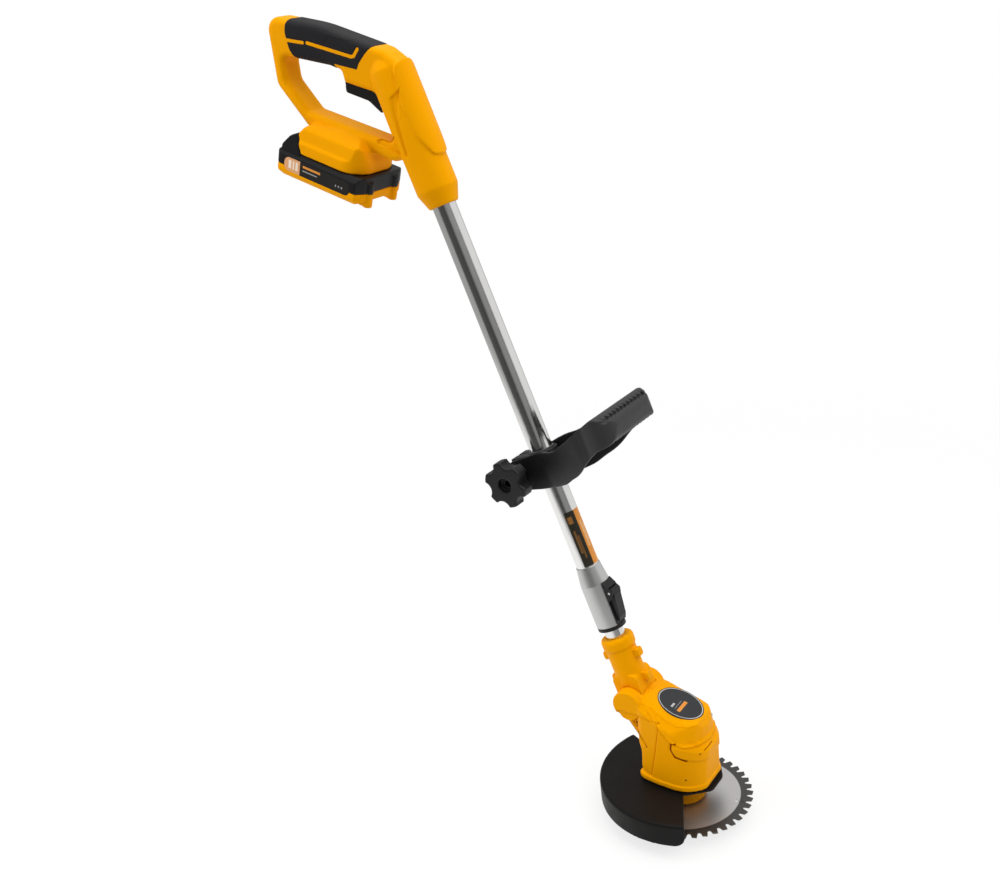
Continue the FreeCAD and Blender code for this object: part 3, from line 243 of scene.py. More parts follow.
def metal(name, colour, dark, rough, stretch=(1, 1, 1), turn=(0, 0, 0), scale=900.0, bevel=0.0003,
          bump=0.00001, marks_on=None):
    """Machined or drawn metal with marks along one way."""
    n = Nodes(name)
    marks = n.noise(scale, 4.0, 0.6, stretch, turn)
    cloud = n.noise(22.0, 4.0)
    body = n.mix(n.math("MULTIPLY", marks, cloud), colour, dark)
    if marks_on is not None:
        body = marks_on(n, body)
    n.link(body, n.shader.inputs["Base Color"])
    n.link(n.spread(marks, 0.25, 0.75, rough - 0.06, rough + 0.08), n.shader.inputs["Roughness"])
    n.link(n.bump(marks, bump, 0.6, n.bevel(bevel)), n.shader.inputs["Normal"])
    n.set(Metallic=1.0)
    return n


YELLOW = (0.90, 0.372, 0.0004)
YELLOW_DARK = (0.86, 0.338, 0.0003)
YELLOW_SHEEN = (1.0, 0.60, 0.04)
SLOT_SHADE = (0.20, 0.028, 0.0)
PRINT_ORANGE = (0.72, 0.27, 0.035)
PRINT_PALE = (0.62, 0.62, 0.60)

# the badge's half sizes along and across the lid, and where the blade's dark rim begins, in millimetres
BADGE_HALF = (26.0, 21.6)
RIM_RADIUS = 61.5


def holes_on(n, body):
    """Darkens the slots and small holes stored on the head."""
    return n.mix(n.below(n.stored("holes"), 0.0, 0.25), body, SLOT_SHADE)


def engraved_shade_on(n, body):
    """Paints shade into the engraved line stored on the grip."""
    line = n.below(n.stored("engraved"), 0.35, 0.3)
    # the near-black line is painted shade for the engraved groove, which the mesh itself doesn't cut
    return n.mix(line, body, (0.002, 0.002, 0.002))


def painted_grip_sheen(n, body):
    """Paints the front loop's outer grip a little greyer than its arms: painted sheen for the light on the
    grip.
    """
    return n.mix(n.below(n.stored("arm"), 0.5, 0.5), body, (0.030, 0.030, 0.031))


def tube_print(n, body):
    """A dark field and an orange field side by side round the tube, with plain bars."""
    round_tube = n.math("ARCTAN2", n.along(SHAFT, 1), n.along(SHAFT, 0))
    height = n.along(SHAFT, 2)
    body = n.mix(n.below(round_tube, math.radians(-19.0), 0.02), PRINT_ORANGE, body)
    for low, high, start, end in ((330, 338, -62, -40), (296, 322, -56, -50), (290, 316, -44, -40)):
        bar = n.patch(height, round_tube, low, high, math.radians(start), math.radians(end))
        body = n.mix(bar, body, (0.30, 0.13, 0.03))
    for low, high, start, end in ((300, 330, -6, 2), (308, 326, 8, 12)):
        bar = n.patch(height, round_tube, low, high, math.radians(start), math.radians(end))
        body = n.mix(bar, body, (0.80, 0.50, 0.24))
    return body


def pack_print(n, body):
    """An orange block at the label's rear end and plain bars on the dark field."""
    a = n.along(BATTERY, 0)
    up = n.along(BATTERY, 2)
    body = n.mix(n.below(a, -76.0), body, (0.72, 0.36, 0.16))
    for a0, a1, low, high in ((-92, -88, -1.0, 8.0), (-86, -84, -1.0, 8.0), (-82, -79, -1.0, 8.0)):
        body = n.mix(n.patch(a, up, a0, a1, low, high), body, (0.85, 0.72, 0.60))
    body = n.mix(n.patch(a, up, -72, -48, 5.2, 7.6), body, PRINT_ORANGE)
    body = n.mix(n.patch(a, up, -72, -52, 1.4, 2.6), body, (0.30, 0.30, 0.30))
    for a0 in (-27, -23, -19):
        body = n.mix(n.patch(a, up, a0, a0 + 1.6, 0.4, 2.6), body, (0.30, 0.30, 0.30))
    return body


def badge_print(n, body):
    """A thin pale ring just inside the oval's edge, and plain bars across it."""
    x = n.along(LID, 0)
    y = n.along(LID, 1)
    round_x = n.math("POWER", n.math("DIVIDE", x, BADGE_HALF[0]), 2.0)
    round_y = n.math("POWER", n.math("DIVIDE", y, BADGE_HALF[1]), 2.0)
    out = n.math("SQRT", n.math("ADD", round_x, round_y))
    ring = n.math("MULTIPLY", n.below(out, 0.955, 0.008), n.math("SUBTRACT", 1.0, n.below(out, 0.925, 0.008)))
    body = n.mix(ring, body, PRINT_PALE)
    body = n.mix(n.patch(y, x, -13, 6, 1.6, 5.4), body, PRINT_ORANGE)
    body = n.mix(n.patch(y, x, -12, 4, -1.4, -0.8), body, (0.25, 0.25, 0.25))
    body = n.mix(n.patch(y, x, -12, -5, -6.4, -4.0), body, (0.45, 0.45, 0.45))
    return body


def saw_rim(n, body):
    """The blade's darker toothed rim round its brighter ground middle."""
    radius = n.math("SQRT", n.math("ADD", n.math("POWER", n.along(UPRIGHT, 0), 2.0),
                                   n.math("POWER", n.along(UPRIGHT, 1), 2.0)))
    return n.mix(n.below(radius, RIM_RADIUS, 0.4), (0.10, 0.098, 0.095), body)


def make_materials():
    m = {}
    m["case_orange"] = moulded("case_orange", YELLOW, YELLOW_DARK, 0.46, 1500.0, (0.93, 0.45, 0.002), 0.0008,
                               0.06, 0.00005, YELLOW_SHEEN, holes_on)
    m["grip_charcoal"] = moulded("grip_charcoal", (0.015, 0.014, 0.016), (0.010, 0.0095, 0.011), 0.60, 1400.0,
                                 (0.03, 0.03, 0.033), 0.0005, 0.22, 0.00012, None, engraved_shade_on)
    m["black_plastic"] = moulded("black_plastic", (0.007, 0.007, 0.0075), (0.005, 0.005, 0.005), 0.42, 1100.0,
                                 (0.02, 0.02, 0.02), spec=0.25)
    m["pack_black"] = moulded("pack_black", (0.007, 0.007, 0.0075), (0.005, 0.005, 0.0055), 0.42, 1300.0,
                              (0.03, 0.03, 0.03), spec=0.26)
    m["knob_black"] = moulded("knob_black", (0.0075, 0.0075, 0.008), (0.005, 0.005, 0.0055), 0.44, 1000.0,
                              (0.025, 0.025, 0.026), spec=0.32, bump=0.0001)
    m["guard_black"] = moulded("guard_black", (0.0055, 0.0048, 0.0045), (0.004, 0.0036, 0.0033), 0.50, 800.0,
                               (0.015, 0.015, 0.015), 0.0012, 0.15, 0.0001)
    m["loop_black"] = moulded("loop_black", (0.0065, 0.0065, 0.007), (0.0045, 0.0045, 0.005), 0.46, 1000.0,
                              (0.02, 0.02, 0.021), 0.0006, 0.3, 0.0001, None, painted_grip_sheen)
    # near-black steel for the bolt and insert in the knob's hole: painted shade standing in for the dark of
    # the hole
    m["hole_shade_steel"] = metal("hole_shade_steel", (0.012, 0.012, 0.012), (0.007, 0.007, 0.007), 0.5)
    m["badge_grey"] = moulded("badge_grey", (0.030, 0.031, 0.034), (0.026, 0.027, 0.030), 0.40, 1500.0,
                              spec=0.25, marks=badge_print)
    m["liner_grey"] = moulded("liner_grey", (0.05, 0.05, 0.05), (0.04, 0.04, 0.04), 0.5, 900.0)
    m["label_print"] = moulded("label_print", (0.016, 0.015, 0.012), (0.013, 0.012, 0.010), 0.38, 1500.0,
                               spec=0.25, marks=pack_print)
    m["tube_print"] = moulded("tube_print", (0.024, 0.021, 0.012), (0.020, 0.018, 0.010), 0.35, 1500.0,
                              bevel=None, spec=0.3, marks=tube_print)
    m["cell_wrap"] = moulded("cell_wrap", (0.05, 0.22, 0.5), (0.04, 0.18, 0.42), 0.35, 900.0)
    m["board_green"] = moulded("board_green", (0.02, 0.2, 0.06), (0.015, 0.16, 0.05), 0.4, 900.0)
    along = (1.0, 1.0, 0.02)
    m["bright_tube"] = metal("bright_tube", (0.80, 0.795, 0.785), (0.68, 0.675, 0.665), 0.15, along,
                             (0, SHAFT_LEAN, 0))
    m["sleeve_alloy"] = metal("sleeve_alloy", (0.60, 0.60, 0.595), (0.50, 0.50, 0.49), 0.38, (1, 1, 4),
                              (0, SHAFT_LEAN, 0), 500.0)
    m["blade_steel"] = metal("blade_steel", (0.68, 0.665, 0.655), (0.42, 0.41, 0.40), 0.42, scale=700.0,
                             marks_on=saw_rim)
    m["zinc_steel"] = metal("zinc_steel", (0.55, 0.55, 0.54), (0.42, 0.42, 0.41), 0.34)
    m["gear_steel"] = metal("gear_steel", (0.42, 0.42, 0.43), (0.30, 0.30, 0.31), 0.36)
    m["gearcase_alloy"] = metal("gearcase_alloy", (0.45, 0.45, 0.45), (0.34, 0.34, 0.34), 0.5)
    m["motor_steel"] = metal("motor_steel", (0.40, 0.40, 0.41), (0.30, 0.30, 0.31), 0.4)
    m["brass"] = metal("brass", (0.70, 0.47, 0.18), (0.55, 0.35, 0.12), 0.3)
    m["copper_wound"] = metal("copper_wound", (0.62, 0.28, 0.14), (0.45, 0.2, 0.1), 0.35)
    return m


# ---------------------------------------------------------------- stage

WORLD_STRENGTH = 0.85
# azimuth of the direction looked along, in degrees from +X, and how bright the wall is there
WORLD_RING = [
    (-180.0, 0.47),
    (-125.0, 0.47),
    (-112.0, 0.10),
    (-62.0, 0.07),
    (-50.0, 0.30),
    (-20.0, 0.34),
    (-4.0, 0.22),
    (8.0, 1.00),
    (75.0, 1.00),
    (100.0, 0.60),
    (179.0, 0.50),
]


def make_world():
    """Pale studio walls: bright on the right and behind, with a dark gap beside the camera.

    The gap is what streaks the metal."""
    world = bpy.data.worlds.new("studio")
    bpy.context.scene.world = world
    world.use_nodes = True
    tree = world.node_tree
    tree.nodes.clear()
    add = tree.nodes.new
    coord = add("ShaderNodeTexCoord")
    split = add("ShaderNodeSeparateXYZ")
    tree.links.new(coord.outputs["Generated"], split.inputs[0])
    azimuth = add("ShaderNodeMath")
    azimuth.operation = "ARCTAN2"
    tree.links.new(split.outputs["Y"], azimuth.inputs[0])
    tree.links.new(split.outputs["X"], azimuth.inputs[1])
    turn = add("ShaderNodeMapRange")
    turn.inputs["From Min"].default_value = -math.pi
    turn.inputs["From Max"].default_value = math.pi
    tree.links.new(azimuth.outputs[0], turn.inputs["Value"])
    ring = add("ShaderNodeValToRGB")
    elements = ring.color_ramp.elements
    while len(elements) < len(WORLD_RING):
        elements.new(0.5)
    for element, (degrees, level) in zip(elements, WORLD_RING):
        element.position = (degrees + 180.0) / 360.0
        element.color = (level, level, level, 1.0)
    tree.links.new(turn.outputs[0], ring.inputs["Fac"])
    height = add("ShaderNodeMapRange")
    height.inputs["From Min"].default_value = 0.35
    height.inputs["From Max"].default_value = 0.8
    tree.links.new(split.outputs["Z"], height.inputs["Value"])
    above = add("ShaderNodeMix")
    above.data_type = "RGBA"
    above.inputs[7].default_value = (1.0, 1.0, 1.0, 1.0)
    tree.links.new(height.outputs[0], above.inputs[0])
    tree.links.new(ring.outputs["Color"], above.inputs[6])
    light = add("ShaderNodeBackground")
    light.inputs["Strength"].default_value = WORLD_STRENGTH
    tree.links.new(above.outputs[2], light.inputs["Color"])
    seen = add("ShaderNodeBackground")
    seen.inputs["Color"].default_value = (1.0, 1.0, 1.0, 1.0)
    seen.inputs["Strength"].default_value = 1.0
    path = add("ShaderNodeLightPath")
    pick = add("ShaderNodeMixShader")
    tree.links.new(path.outputs["Is Camera Ray"], pick.inputs[0])
    tree.links.new(light.outputs[0], pick.inputs[1])
    tree.links.new(seen.outputs[0], pick.inputs[2])
    out = add("ShaderNodeOutputWorld")
    tree.links.new(pick.outputs[0], out.inputs["Surface"])


def area_light(name, at, target, size, power, reflected=True):
    data = bpy.data.lights.new(name, "AREA")
    data.shape = "RECTANGLE"
    data.size, data.size_y = size
    data.energy = power
    light = bpy.data.objects.new(name, data)
    bpy.context.scene.collection.objects.link(light)
    light.location = at
    light.visible_glossy = reflected
    light.rotation_mode = "QUATERNION"
    light.rotation_quaternion = (Vector(target) - Vector(at)).to_track_quat("-Z", "Y")


def make_floor():
    """A pale floor that glows a little and fades out, so it has no edge against the walls."""
    mesh = bpy.data.meshes.new("floor")
    reach = 1.6
    corners = [(-reach, -reach, 0), (reach, -reach, 0), (reach, reach, 0), (-reach, reach, 0)]
    mesh.from_pydata(corners, [], [(0, 1, 2, 3)])
    floor = bpy.data.objects.new("floor", mesh)
    floor.location = (-0.1, 0.0, -0.0015)
    bpy.context.scene.collection.objects.link(floor)
    n = Nodes("floor")
    n.set(Base_Color=(0.93, 0.93, 0.92, 1.0), Roughness=0.7, Specular_IOR_Level=0.2)
    distance = n.add("ShaderNodeVectorMath", operation="LENGTH")
    n.link(n.coord.outputs["Object"], distance.inputs[0])
    n.link(n.bump(n.noise(60.0), 0.0002, 0.3), n.shader.inputs["Normal"])
    fade = n.add("ShaderNodeMapRange", interpolation_type="SMOOTHSTEP")
    fade.inputs["From Min"].default_value = 0.55
    fade.inputs["From Max"].default_value = 1.5
    n.link(distance.outputs["Value"], fade.inputs["Value"])
    clear = n.add("ShaderNodeBsdfTransparent")
    glow = n.add("ShaderNodeEmission")
    glow.inputs["Strength"].default_value = 1.0
    lit = n.add("ShaderNodeMixShader")
    lit.inputs[0].default_value = 0.72
    n.link(n.shader.outputs[0], lit.inputs[1])
    n.link(glow.outputs[0], lit.inputs[2])
    pick = n.add("ShaderNodeMixShader")
    n.link(fade.outputs[0], pick.inputs[0])
    n.link(lit.outputs[0], pick.inputs[1])
    n.link(clear.outputs[0], pick.inputs[2])
    n.link(pick.outputs[0], n.tree.nodes["Material Output"].inputs["Surface"])
    mesh.materials.append(n.material)


def make_lights():
    area_light("key", (0.9, -0.4, 1.9), (-0.15, 0.0, 0.4), (1.4, 1.0), 13.5)
    area_light("top", (-0.2, 0.1, 2.2), (-0.2, 0.0, 0.4), (1.6, 1.6), 9.5)
    area_light("left_fill", (-1.5, -1.0, 1.1), (-0.2, 0.0, 0.5), (1.0, 1.6), 17.0, False)


# ---------------------------------------------------------------- mesh work


def stand_in(name, nodes, voxel, backed=()):
    """One closed object in the shape of some CAD nodes, remeshed into small even faces.

    backed lists slots, seen from the side, that get a floor a little below the surface."""
    bm = bmesh.new()
    for node in nodes:
        bm.from_mesh(NODES[node].data)
    tree = BVHTree.FromBMesh(bm)
    for outline in backed:
        add_backing(bm, tree, outline, -1.0)
        add_backing(bm, tree, outline, 1.0)
    bmesh.ops.remove_doubles(bm, verts=bm.verts, dist=1e-7)
    mesh = bpy.data.meshes.new(name)
    bm.to_mesh(mesh)
    bm.free()
    obj = bpy.data.objects.new(name, mesh)
    bpy.context.scene.collection.objects.link(obj)
    remesh = obj.modifiers.new("remesh", "REMESH")
    remesh.mode = "VOXEL"
    remesh.voxel_size = voxel
    graph = bpy.context.evaluated_depsgraph_get()
    obj.data = bpy.data.meshes.new_from_object(obj.evaluated_get(graph))
    obj.modifiers.clear()
    shade_smooth(obj)
    return obj


# top and underside of the strip behind a slot, in metres below the wall, and how far round it the wall is
# felt for, in millimetres
BACKING_DEPTHS = (0.0009, 0.0024)
FEEL_RADIUS = 2.0


def add_backing(bm, tree, outline, side):
    """Closes a slot in a side wall with a strip that follows the wall a little below its surface."""
    rings = ([], [])
    for x, z in outline:
        depths = []
        for turn in range(8):
            angle = turn * math.pi / 4.0
            ahead, up = x + FEEL_RADIUS * math.cos(angle), z + FEEL_RADIUS * math.sin(angle)
            probe = UPRIGHT @ Vector((ahead / 1000.0, 0.0, up / 1000.0))
            hit = tree.ray_cast(Vector((probe.x, side * 0.1, probe.z)), Vector((0.0, -side, 0.0)))[0]
            if hit is not None:
                depths.append(abs(hit.y))
        foot = UPRIGHT @ Vector((x / 1000.0, 0.0, z / 1000.0))
        wall = sorted(depths)[len(depths) // 2]
        for ring, below in zip(rings, BACKING_DEPTHS):
            ring.append(bm.verts.new((foot.x, side * (wall - below), foot.z)))
    outer, inner = rings
    faces = [bm.faces.new(outer), bm.faces.new(inner[::-1])]
    for k in range(len(outer)):
        after = (k + 1) % len(outer)
        faces.append(bm.faces.new((outer[k], inner[k], inner[after], outer[after])))
    bmesh.ops.triangulate(bm, faces=faces)


def shade_smooth(obj):
    obj.data.polygons.foreach_set("use_smooth", np.ones(len(obj.data.polygons), bool))


def points_of(obj):
    flat = np.empty(len(obj.data.vertices) * 3)
    obj.data.vertices.foreach_get("co", flat)
    return flat.reshape(-1, 3)


def normals_of(obj):
    flat = np.empty(len(obj.data.vertices) * 3)
    obj.data.vertices.foreach_get("normal", flat)
    return flat.reshape(-1, 3)


def set_points(obj, points):
    obj.data.vertices.foreach_set("co", points.ravel())
    obj.data.update()


def soften(obj, rounds, share=1.0):
    """Evens out the surface, which rounds its edges; share says how much, from 0 to 1, at each vertex."""
    points = points_of(obj)
    ends = np.empty(len(obj.data.edges) * 2, np.int32)
    obj.data.edges.foreach_get("vertices", ends)
    a, b = ends.reshape(-1, 2).T
    count = len(points)
    near = np.maximum(np.bincount(a, minlength=count) + np.bincount(b, minlength=count), 1)
    for _ in range(rounds):
        mean = np.empty_like(points)
        for axis in range(3):
            column = points[:, axis]
            total = np.bincount(a, column[b], count) + np.bincount(b, column[a], count)
            mean[:, axis] = total / near
        points += (mean - points) * 0.5 * np.reshape(share, (-1, 1))
    set_points(obj, points)


def ramp_up(value, low, high):
    """A smooth step from 0 at low to 1 at high."""
    t = np.clip((value - low) / (high - low), 0.0, 1.0)
    return t * t * (3.0 - 2.0 * t)


def line_distance(points, line, closed=False):
    """How far points of a plane lie from a line through corners."""
    corners = np.array(line, float)
    following = np.roll(corners, -1, 0) if closed else corners[1:]
    starts = corners if closed else corners[:-1]
    best = np.full(len(points), 1e9)
    for p, q in zip(starts, following):
        t = np.clip(((points - p) @ (q - p)) / ((q - p) @ (q - p)), 0.0, 1.0)
        best = np.minimum(best, np.linalg.norm(points - p - t[:, None] * (q - p), axis=1))
    return best


def outline_distance(points, outline):
    """The same for a closed outline, less than zero inside it."""
    corners = np.array(outline, float)
    inside = np.zeros(len(points), bool)
    x, y = points.T
    for p, q in zip(corners, np.roll(corners, -1, 0)):
        if p[1] == q[1]:
            continue
        crosses = ((p[1] > y) != (q[1] > y)) & (x < (q[0] - p[0]) * (y - p[1]) / (q[1] - p[1]) + p[0])
        inside ^= crosses
    return np.where(inside, -1.0, 1.0) * line_distance(points, outline, True)


def store(obj, name, values):
    layer = obj.data.attributes.new(name, "FLOAT", "POINT")
    layer.data.foreach_set("value", np.asarray(values, np.float32))


def cut_out(obj, name, values):
    """A new surface: the part of obj where the values are under zero, cut cleanly between vertices."""
    bm = bmesh.new()
    bm.from_mesh(obj.data)
    layer = bm.verts.layers.float.new("cut")
    for vert, value in zip(bm.verts, values.tolist()):
        vert[layer] = value
    far = [f for f in bm.faces if min(v[layer] for v in f.verts) > 0.0]
    bmesh.ops.delete(bm, geom=far, context="FACES")
    added = []
    for edge in [e for e in bm.edges if e.verts[0][layer] * e.verts[1][layer] < 0.0]:
        start, end = edge.verts
        share = start[layer] / (start[layer] - end[layer])
        vert = bmesh.utils.edge_split(edge, start, share)[1]
        vert[layer] = 0.0
        added.append(vert)
    bmesh.ops.connect_verts(bm, verts=added)
    outside = [f for f in bm.faces if max(v[layer] for v in f.verts) > 0.0]
    bmesh.ops.delete(bm, geom=outside, context="FACES")
    bmesh.ops.delete(bm, geom=[v for v in bm.verts if not v.link_faces], context="VERTS")
    mesh = bpy.data.meshes.new(name)
    bm.to_mesh(mesh)
    bm.free()
    piece = bpy.data.objects.new(name, mesh)
    bpy.context.scene.collection.objects.link(piece)
    shade_smooth(piece)
    return piece


# stored as the distance to a hole where there is none near, in millimetres
NO_HOLE = 9.0


def settle(piece, slot, body, *nodes, look=None):
    """Gives a finished piece the material of its slot, hides the nodes it stands for and hangs it on the body
    it rides on.

    look names the material where it isn't the slot's own."""
    piece.data.materials.clear()
    piece.data.materials.append(MATERIALS[look or slot].material)
    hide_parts(*nodes)
    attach(piece, body)


# ---------------------------------------------------------------- rear handle

# the soft grip skin seen from the side, forward and up in millimetres
SKIN_OUTLINE = [
    (-376, 870), (-379, 851), (-384, 846), (-388, 840), (-390.3, 832), (-389.6, 823), (-388, 815),
    (-385, 809), (-381, 800), (-376, 785), (-331, 785), (-329.5, 796.6), (-300.5, 789.3), (-297, 795),
    (-288, 803), (-280, 808.8), (-270, 812.2), (-262, 816), (-256, 870),
]
# the casing shows through the skin along these lines, this far to either side
INLAYS = [
    [(-398, 825.6), (-388.5, 823.7), (-367.8, 819.8)],
    [(-362.0, 819.2), (-329.7, 809.4), (-305.5, 802.0), (-302.0, 802.6), (-296.0, 808.6)],
]
INLAY_HALF = 1.75
ENGRAVED = [(-339.2, 818.1), (-331.4, 823.7), (-306.3, 816.3), (-296.1, 819.7), (-282.1, 817.2), (-276, 832)]
RIBBED = [(-384, 818), (-337, 806.5), (-336, 785), (-384, 785)]
RIB_PITCH = 3.0
RIB_SLOPE = math.radians(15.0)
RIB_DEPTH = 0.35
# how far the skin stands proud at its edge, and how much more inside it
SKIN_LIFT = 0.05
SKIN_CROWN = 0.45
# recesses in the neck's sides, forward and up along the shaft
NECK_PANEL = [(19, 807), (3, 801), (-1, 785), (-6.3, 743.5), (-4.6, 740.2), (0.2, 746.8), (4.8, 779.9),
              (10.5, 794)]
NECK_CORNER = [(-39.5, 772), (-40, 767.4), (-12.6, 743.5), (-10, 766), (-17, 768.2)]
# each recess with its depth in metres and the width of its sloping edge in millimetres
NECK_RECESSES = ((NECK_PANEL, 0.0019, 2.0), (NECK_CORNER, 0.0024, 1.4))


def skin_edge(view):
    """How far points of the side view lie outside the grip skin, less than zero inside it."""
    edge = outline_distance(view, SKIN_OUTLINE)
    for line in INLAYS:
        edge = np.maximum(edge, INLAY_HALF - line_distance(view, line))
    return edge


def raise_skin(skin):
    """Lifts the skin off the casing, with ribs under the grip, and stores its engraved line."""
    view = into(UPRIGHT, points_of(skin))[:, [0, 2]]
    edge = skin_edge(view)
    across_ribs = np.array((math.cos(RIB_SLOPE), -math.sin(RIB_SLOPE)))
    rib = 0.5 + 0.5 * np.sin(view @ across_ribs * 2.0 * math.pi / RIB_PITCH)
    ribbed = ramp_up(-outline_distance(view, RIBBED), 0.0, 1.0)
    rise = SKIN_LIFT + SKIN_CROWN * ramp_up(-edge, 0.0, 0.9) - RIB_DEPTH * ribbed * rib
    set_points(skin, points_of(skin) + normals_of(skin) * rise[:, None] * 0.001)
    store(skin, "engraved", line_distance(view, ENGRAVED))


def make_rear_handle():
    """The casing with its recessed neck, and the grip skin cut from the same surface."""
    casing = stand_in("rear_handle_casing",
                      ["handle_shell_right", "handle_shell_left", "grip_skin_right", "grip_skin_left"], 0.0008)
    soften(casing, 10)
    shaft = into(SHAFT, points_of(casing))
    ahead, _, up = shaft.T
    hump = ramp_up(ahead, 4.0, 9.0) * ramp_up(up, 716, 724) * (1 - ramp_up(up, 842, 850))
    soften(casing, 16, hump)
    points = points_of(casing)
    shaft = into(SHAFT, points)
    facing = np.abs(normals_of(casing)[:, 1]) > 0.35
    side = np.sign(points[:, 1]) * facing * (np.abs(points[:, 1]) > 0.010)
    for outline, depth, reach in NECK_RECESSES:
        sunk = ramp_up(-outline_distance(shaft[:, [0, 2]], outline), 0.0, reach)
        points[:, 1] -= side * depth * sunk
    set_points(casing, points)

    skin = cut_out(casing, "grip_skin", skin_edge(into(UPRIGHT, points)[:, [0, 2]]))
    raise_skin(skin)
    settle(casing, "case_orange", "rear_handle", "handle_shell_right", "handle_shell_left")
    store(casing, "holes", np.full(len(points), NO_HOLE))
    settle(skin, "grip_charcoal", "rear_handle", "grip_skin_right", "grip_skin_left")


# ---------------------------------------------------------------- head

# the lid's lower edge, forward and up
LID_EDGE = [(-60, 150), (-40, 134), (-29.3, 124.1), (-17, 113.8), (-4.9, 101.8), (3, 93.5), (9, 89), (20, 86),
            (60, 84)]
# the flat top of the lid, along and across the lid
LID_PLATEAU = [(-34, 26), (-20, 26), (-5, 28.5), (10, 29), (24, 23.5), (32.5, 12), (34.5, 0),
               (32.5, -12), (24, -23.5), (10, -29), (-5, -28.5), (-20, -26), (-34, -26)]
# the sunk column behind and the raised cheek in front, forward and up
REAR_COLUMN = [(-60, 110), (-5, 110), (-6.9, 97.9), (-12.3, 70.1), (-19.8, 36.5), (-60, 36.5)]
CHEEK = [(8.4, 88), (8.2, 79.5), (12.4, 73.6), (23, 70.2), (50, 62), (50, 88)]
# the two slots in each side, forward and up, and the lines along their middles
REAR_SLOT = [(-41.8, 93.2), (-39.4, 94.8), (-22.0, 72.4), (-24.4, 70.8)]
SIDE_SCOOP = [(13, 91), (5.4, 89), (3.4, 79), (8.4, 71.4), (23, 68.9),
              (23, 69.9), (12, 73.4), (7.6, 79.5), (8, 86), (13, 89.8)]
SCOOP_LINE = [(12.2, 90.2), (7.0, 87.8), (6.2, 80.6), (10.4, 72.6), (22.6, 69.4)]
REAR_LINE = [(-39.6, 92.6), (-24.0, 72.6)]
SLOT_HALF = 1.0
# small dark marks on the right side only: a line and its half width
RIGHT_MARKS = [([(33.4, 76.4), (33.8, 76.7)], 0.7), ([(36.2, 78.2), (38.9, 80.6)], 0.45),
               ([(20.4, 45.2), (20.8, 45.2)], 1.0)]
# the raised rim round the lid's top, along and across the lid
LID_RIDGE = [(-60, -32), (-5, -32), (11, -31.5), (22, -22.5), (32, -9.5), (34, 0),
             (32, 9.5), (22, 22.5), (11, 31.5), (-5, 32), (-60, 32)]


def drop_lid_corners(points):
    """Lets the lid fall away outside its ridge, most at its front corners."""
    lid = into(LID, points)
    fall = 12.5 * ramp_up(outline_distance(lid[:, :2], LID_RIDGE), 0.0, 9.0) * ramp_up(lid[:, 0], 4.0, 16.0)
    fall += 2.0 * ramp_up(lid[:, 0], 27.0, 40.0)
    fall *= np.clip((lid[:, 2] + 27.0) / 20.0, 0.0, 1.0)
    return points - fall[:, None] * 0.001 * np.array(LID.to_3x3().col[2])


def head_relief(points, normals):
    """How far the head's creases and panels stand out, in millimetres."""
    local = into(UPRIGHT, points)
    view = local[:, [0, 2]]
    edge_x, edge_z = np.array(LID_EDGE, float).T
    over = view[:, 1] - np.interp(view[:, 0], edge_x, edge_z)
    ahead = ramp_up(view[:, 0], -27.0, -20.0)
    rise = ahead * (1.2 * np.exp(-((over - 1.3) / 1.6) ** 2) - 0.9 * np.exp(-((over + 1.1) / 1.2) ** 2))
    rise += 1.3 * ramp_up(37.0 - local[:, 2], 0.0, 0.9)
    rise += 1.3 * ramp_up(-outline_distance(view, CHEEK), 0.0, 1.6)
    rise -= 1.7 * ramp_up(-outline_distance(view, REAR_COLUMN), 0.0, 2.0)
    rise *= 1.0 - ramp_up(np.abs(normals[:, 2]), 0.75, 0.95)
    plateau = ramp_up(-outline_distance(into(LID, points)[:, :2], LID_PLATEAU), 0.0, 1.4)
    rise += 1.0 * ramp_up(normals[:, 2], 0.5, 0.75) * plateau
    outside = np.linalg.norm(local[:, :2] - (-2.0, 0.0), axis=1) > 24.0
    outside |= local[:, 2] > 108.0
    return rise * outside


def head_holes(points):
    """How far points of the head lie from its slots and marks, less than zero inside them."""
    local = into(UPRIGHT, points)
    view = local[:, [0, 2]]
    marks = np.minimum.reduce([line_distance(view, line) - half for line, half in RIGHT_MARKS])
    holes = np.where(local[:, 1] < 0.0, marks, NO_HOLE)
    slots = np.minimum(line_distance(view, SCOOP_LINE), line_distance(view, REAR_LINE))
    return np.minimum(holes, slots - SLOT_HALF)


def make_head():
    """Both shells as one moulding, with its slots, creases, panels and falling lid."""
    head = stand_in("head_casing", ["head_shell_right", "head_shell_left"], 0.0007, [REAR_SLOT, SIDE_SCOOP])
    soften(head, 6)
    points = drop_lid_corners(points_of(head))
    set_points(head, points)
    normals = normals_of(head)
    set_points(head, points + normals * head_relief(points, normals)[:, None] * 0.001)
    store(head, "holes", head_holes(points))
    settle(head, "case_orange", "head", "head_shell_right", "head_shell_left")


# ---------------------------------------------------------------- the other soft-edged pieces


def make_rounded(name, nodes, slot, body, voxel, rounds):
    """A CAD piece with its moulded edges rounded over."""
    piece = stand_in(name, nodes, voxel)
    soften(piece, rounds)
    store(piece, "holes", np.full(len(piece.data.vertices), NO_HOLE))
    settle(piece, slot, body, *nodes)


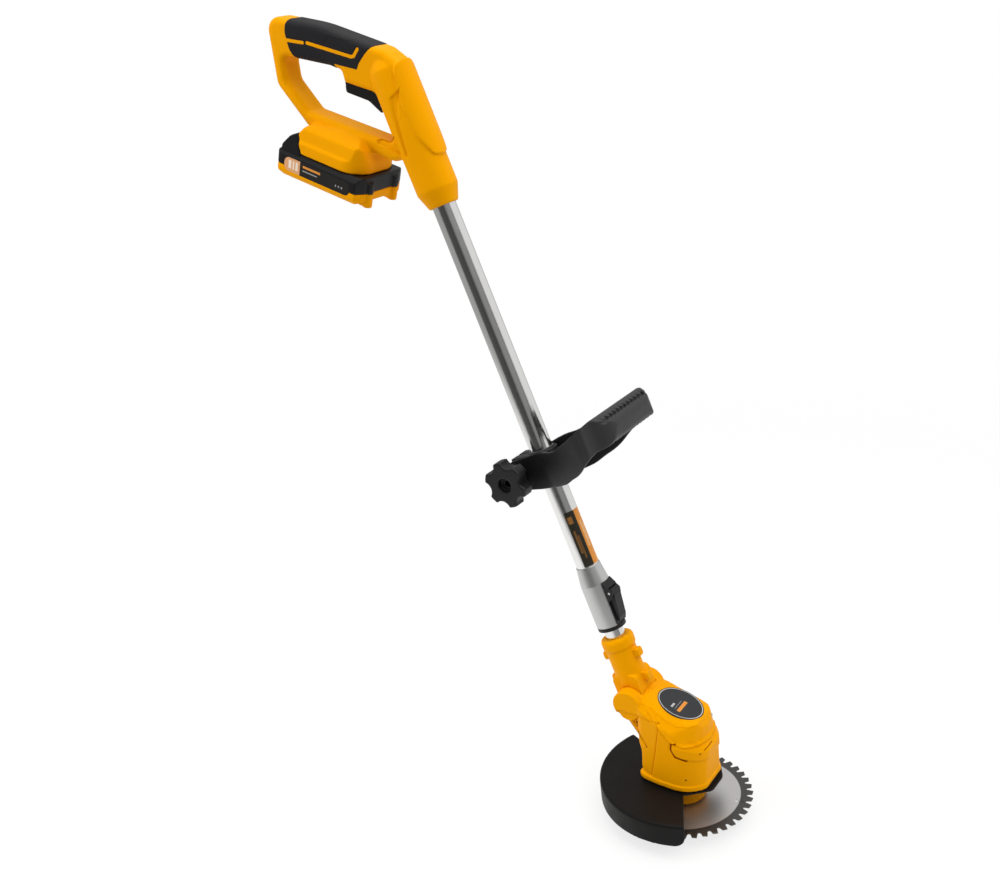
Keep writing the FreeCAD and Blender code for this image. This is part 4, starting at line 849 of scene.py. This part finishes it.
def make_front_loop():
    """The loop, with its arms raised 2 to 4 mm and its grip end 2.5 mm wider on each side."""
    loop = stand_in("front_loop_moulding", ["front_loop"], 0.0007)
    soften(loop, 8)
    points = points_of(loop)
    ahead, across, up = into(SHAFT, points).T
    rise = 0.0020 * ramp_up(ahead, -4.0, 26.0)
    middle = ramp_up(ahead, 35.0, 55.0) * (1.0 - ramp_up(ahead, 92.0, 104.0))
    rise += 0.0032 * middle * (1.0 - ramp_up(up, 392.0, 412.0))
    behind = ramp_up(ahead, 0.0, 26.0) * (1.0 - ramp_up(ahead, 40.0, 75.0)) * ramp_up(across, 5.0, 20.0)
    rise += 0.0038 * behind * ramp_up(up, 392.0, 412.0)
    at_grip = ramp_up(np.abs(across), 25.0, 45.0)
    points[:, 1] += np.sign(across) * 0.0025 * at_grip * ramp_up(ahead, 80.0, 100.0)
    points += rise[:, None] * np.array(SHAFT.to_3x3().col[2])
    set_points(loop, points)
    # the arm value marks where the grip's painted sheen stops
    store(loop, "arm", 9.0 * (1.0 - ramp_up(ahead, 70.0, 96.0)))
    settle(loop, "knob_black", "front_handle", "front_loop", look="loop_black")


def make_pieces():
    make_rear_handle()
    make_head()
    make_front_loop()
    make_rounded("yoke", ["yoke_right", "yoke_left"], "case_orange", "lower_shaft", 0.0006, 4)
    make_rounded("pack_top", ["battery_case_upper"], "pack_black", "battery", 0.0007, 5)
    make_rounded("pack_tray", ["battery_case_lower"], "case_orange", "battery", 0.0007, 5)
    make_rounded("trigger_moulding", ["trigger"], "black_plastic", "trigger", 0.0005, 6)
    make_rounded("knob_moulding", ["star_knob"], "knob_black", "knob", 0.0006, 5)
    make_rounded("clamp_moulding", ["clamp_block"], "knob_black", "clamp", 0.0006, 3)
    make_rounded("guard_moulding", ["blade_guard"], "guard_black", "head", 0.0008, 4)


# ---------------------------------------------------------------- build

# CAD pieces that look different from the rest of their slot; the bolt and insert in the knob's hole get
# near-black steel as painted shade for the hole
LOOK_OF = {"tube_label": "tube_print", "clamp_bolt": "hole_shade_steel", "knob_insert": "hole_shade_steel"}

MATERIALS = make_materials()
for node_name, node in NODES.items():
    node.data.materials.clear()
    look = LOOK_OF.get(node_name, SLOT_OF[node_name])
    node.data.materials.append(MATERIALS[look].material)

make_pieces()
make_camera()
make_world()
make_lights()
make_floor()
bpy.context.scene.view_settings.view_transform = "Standard"
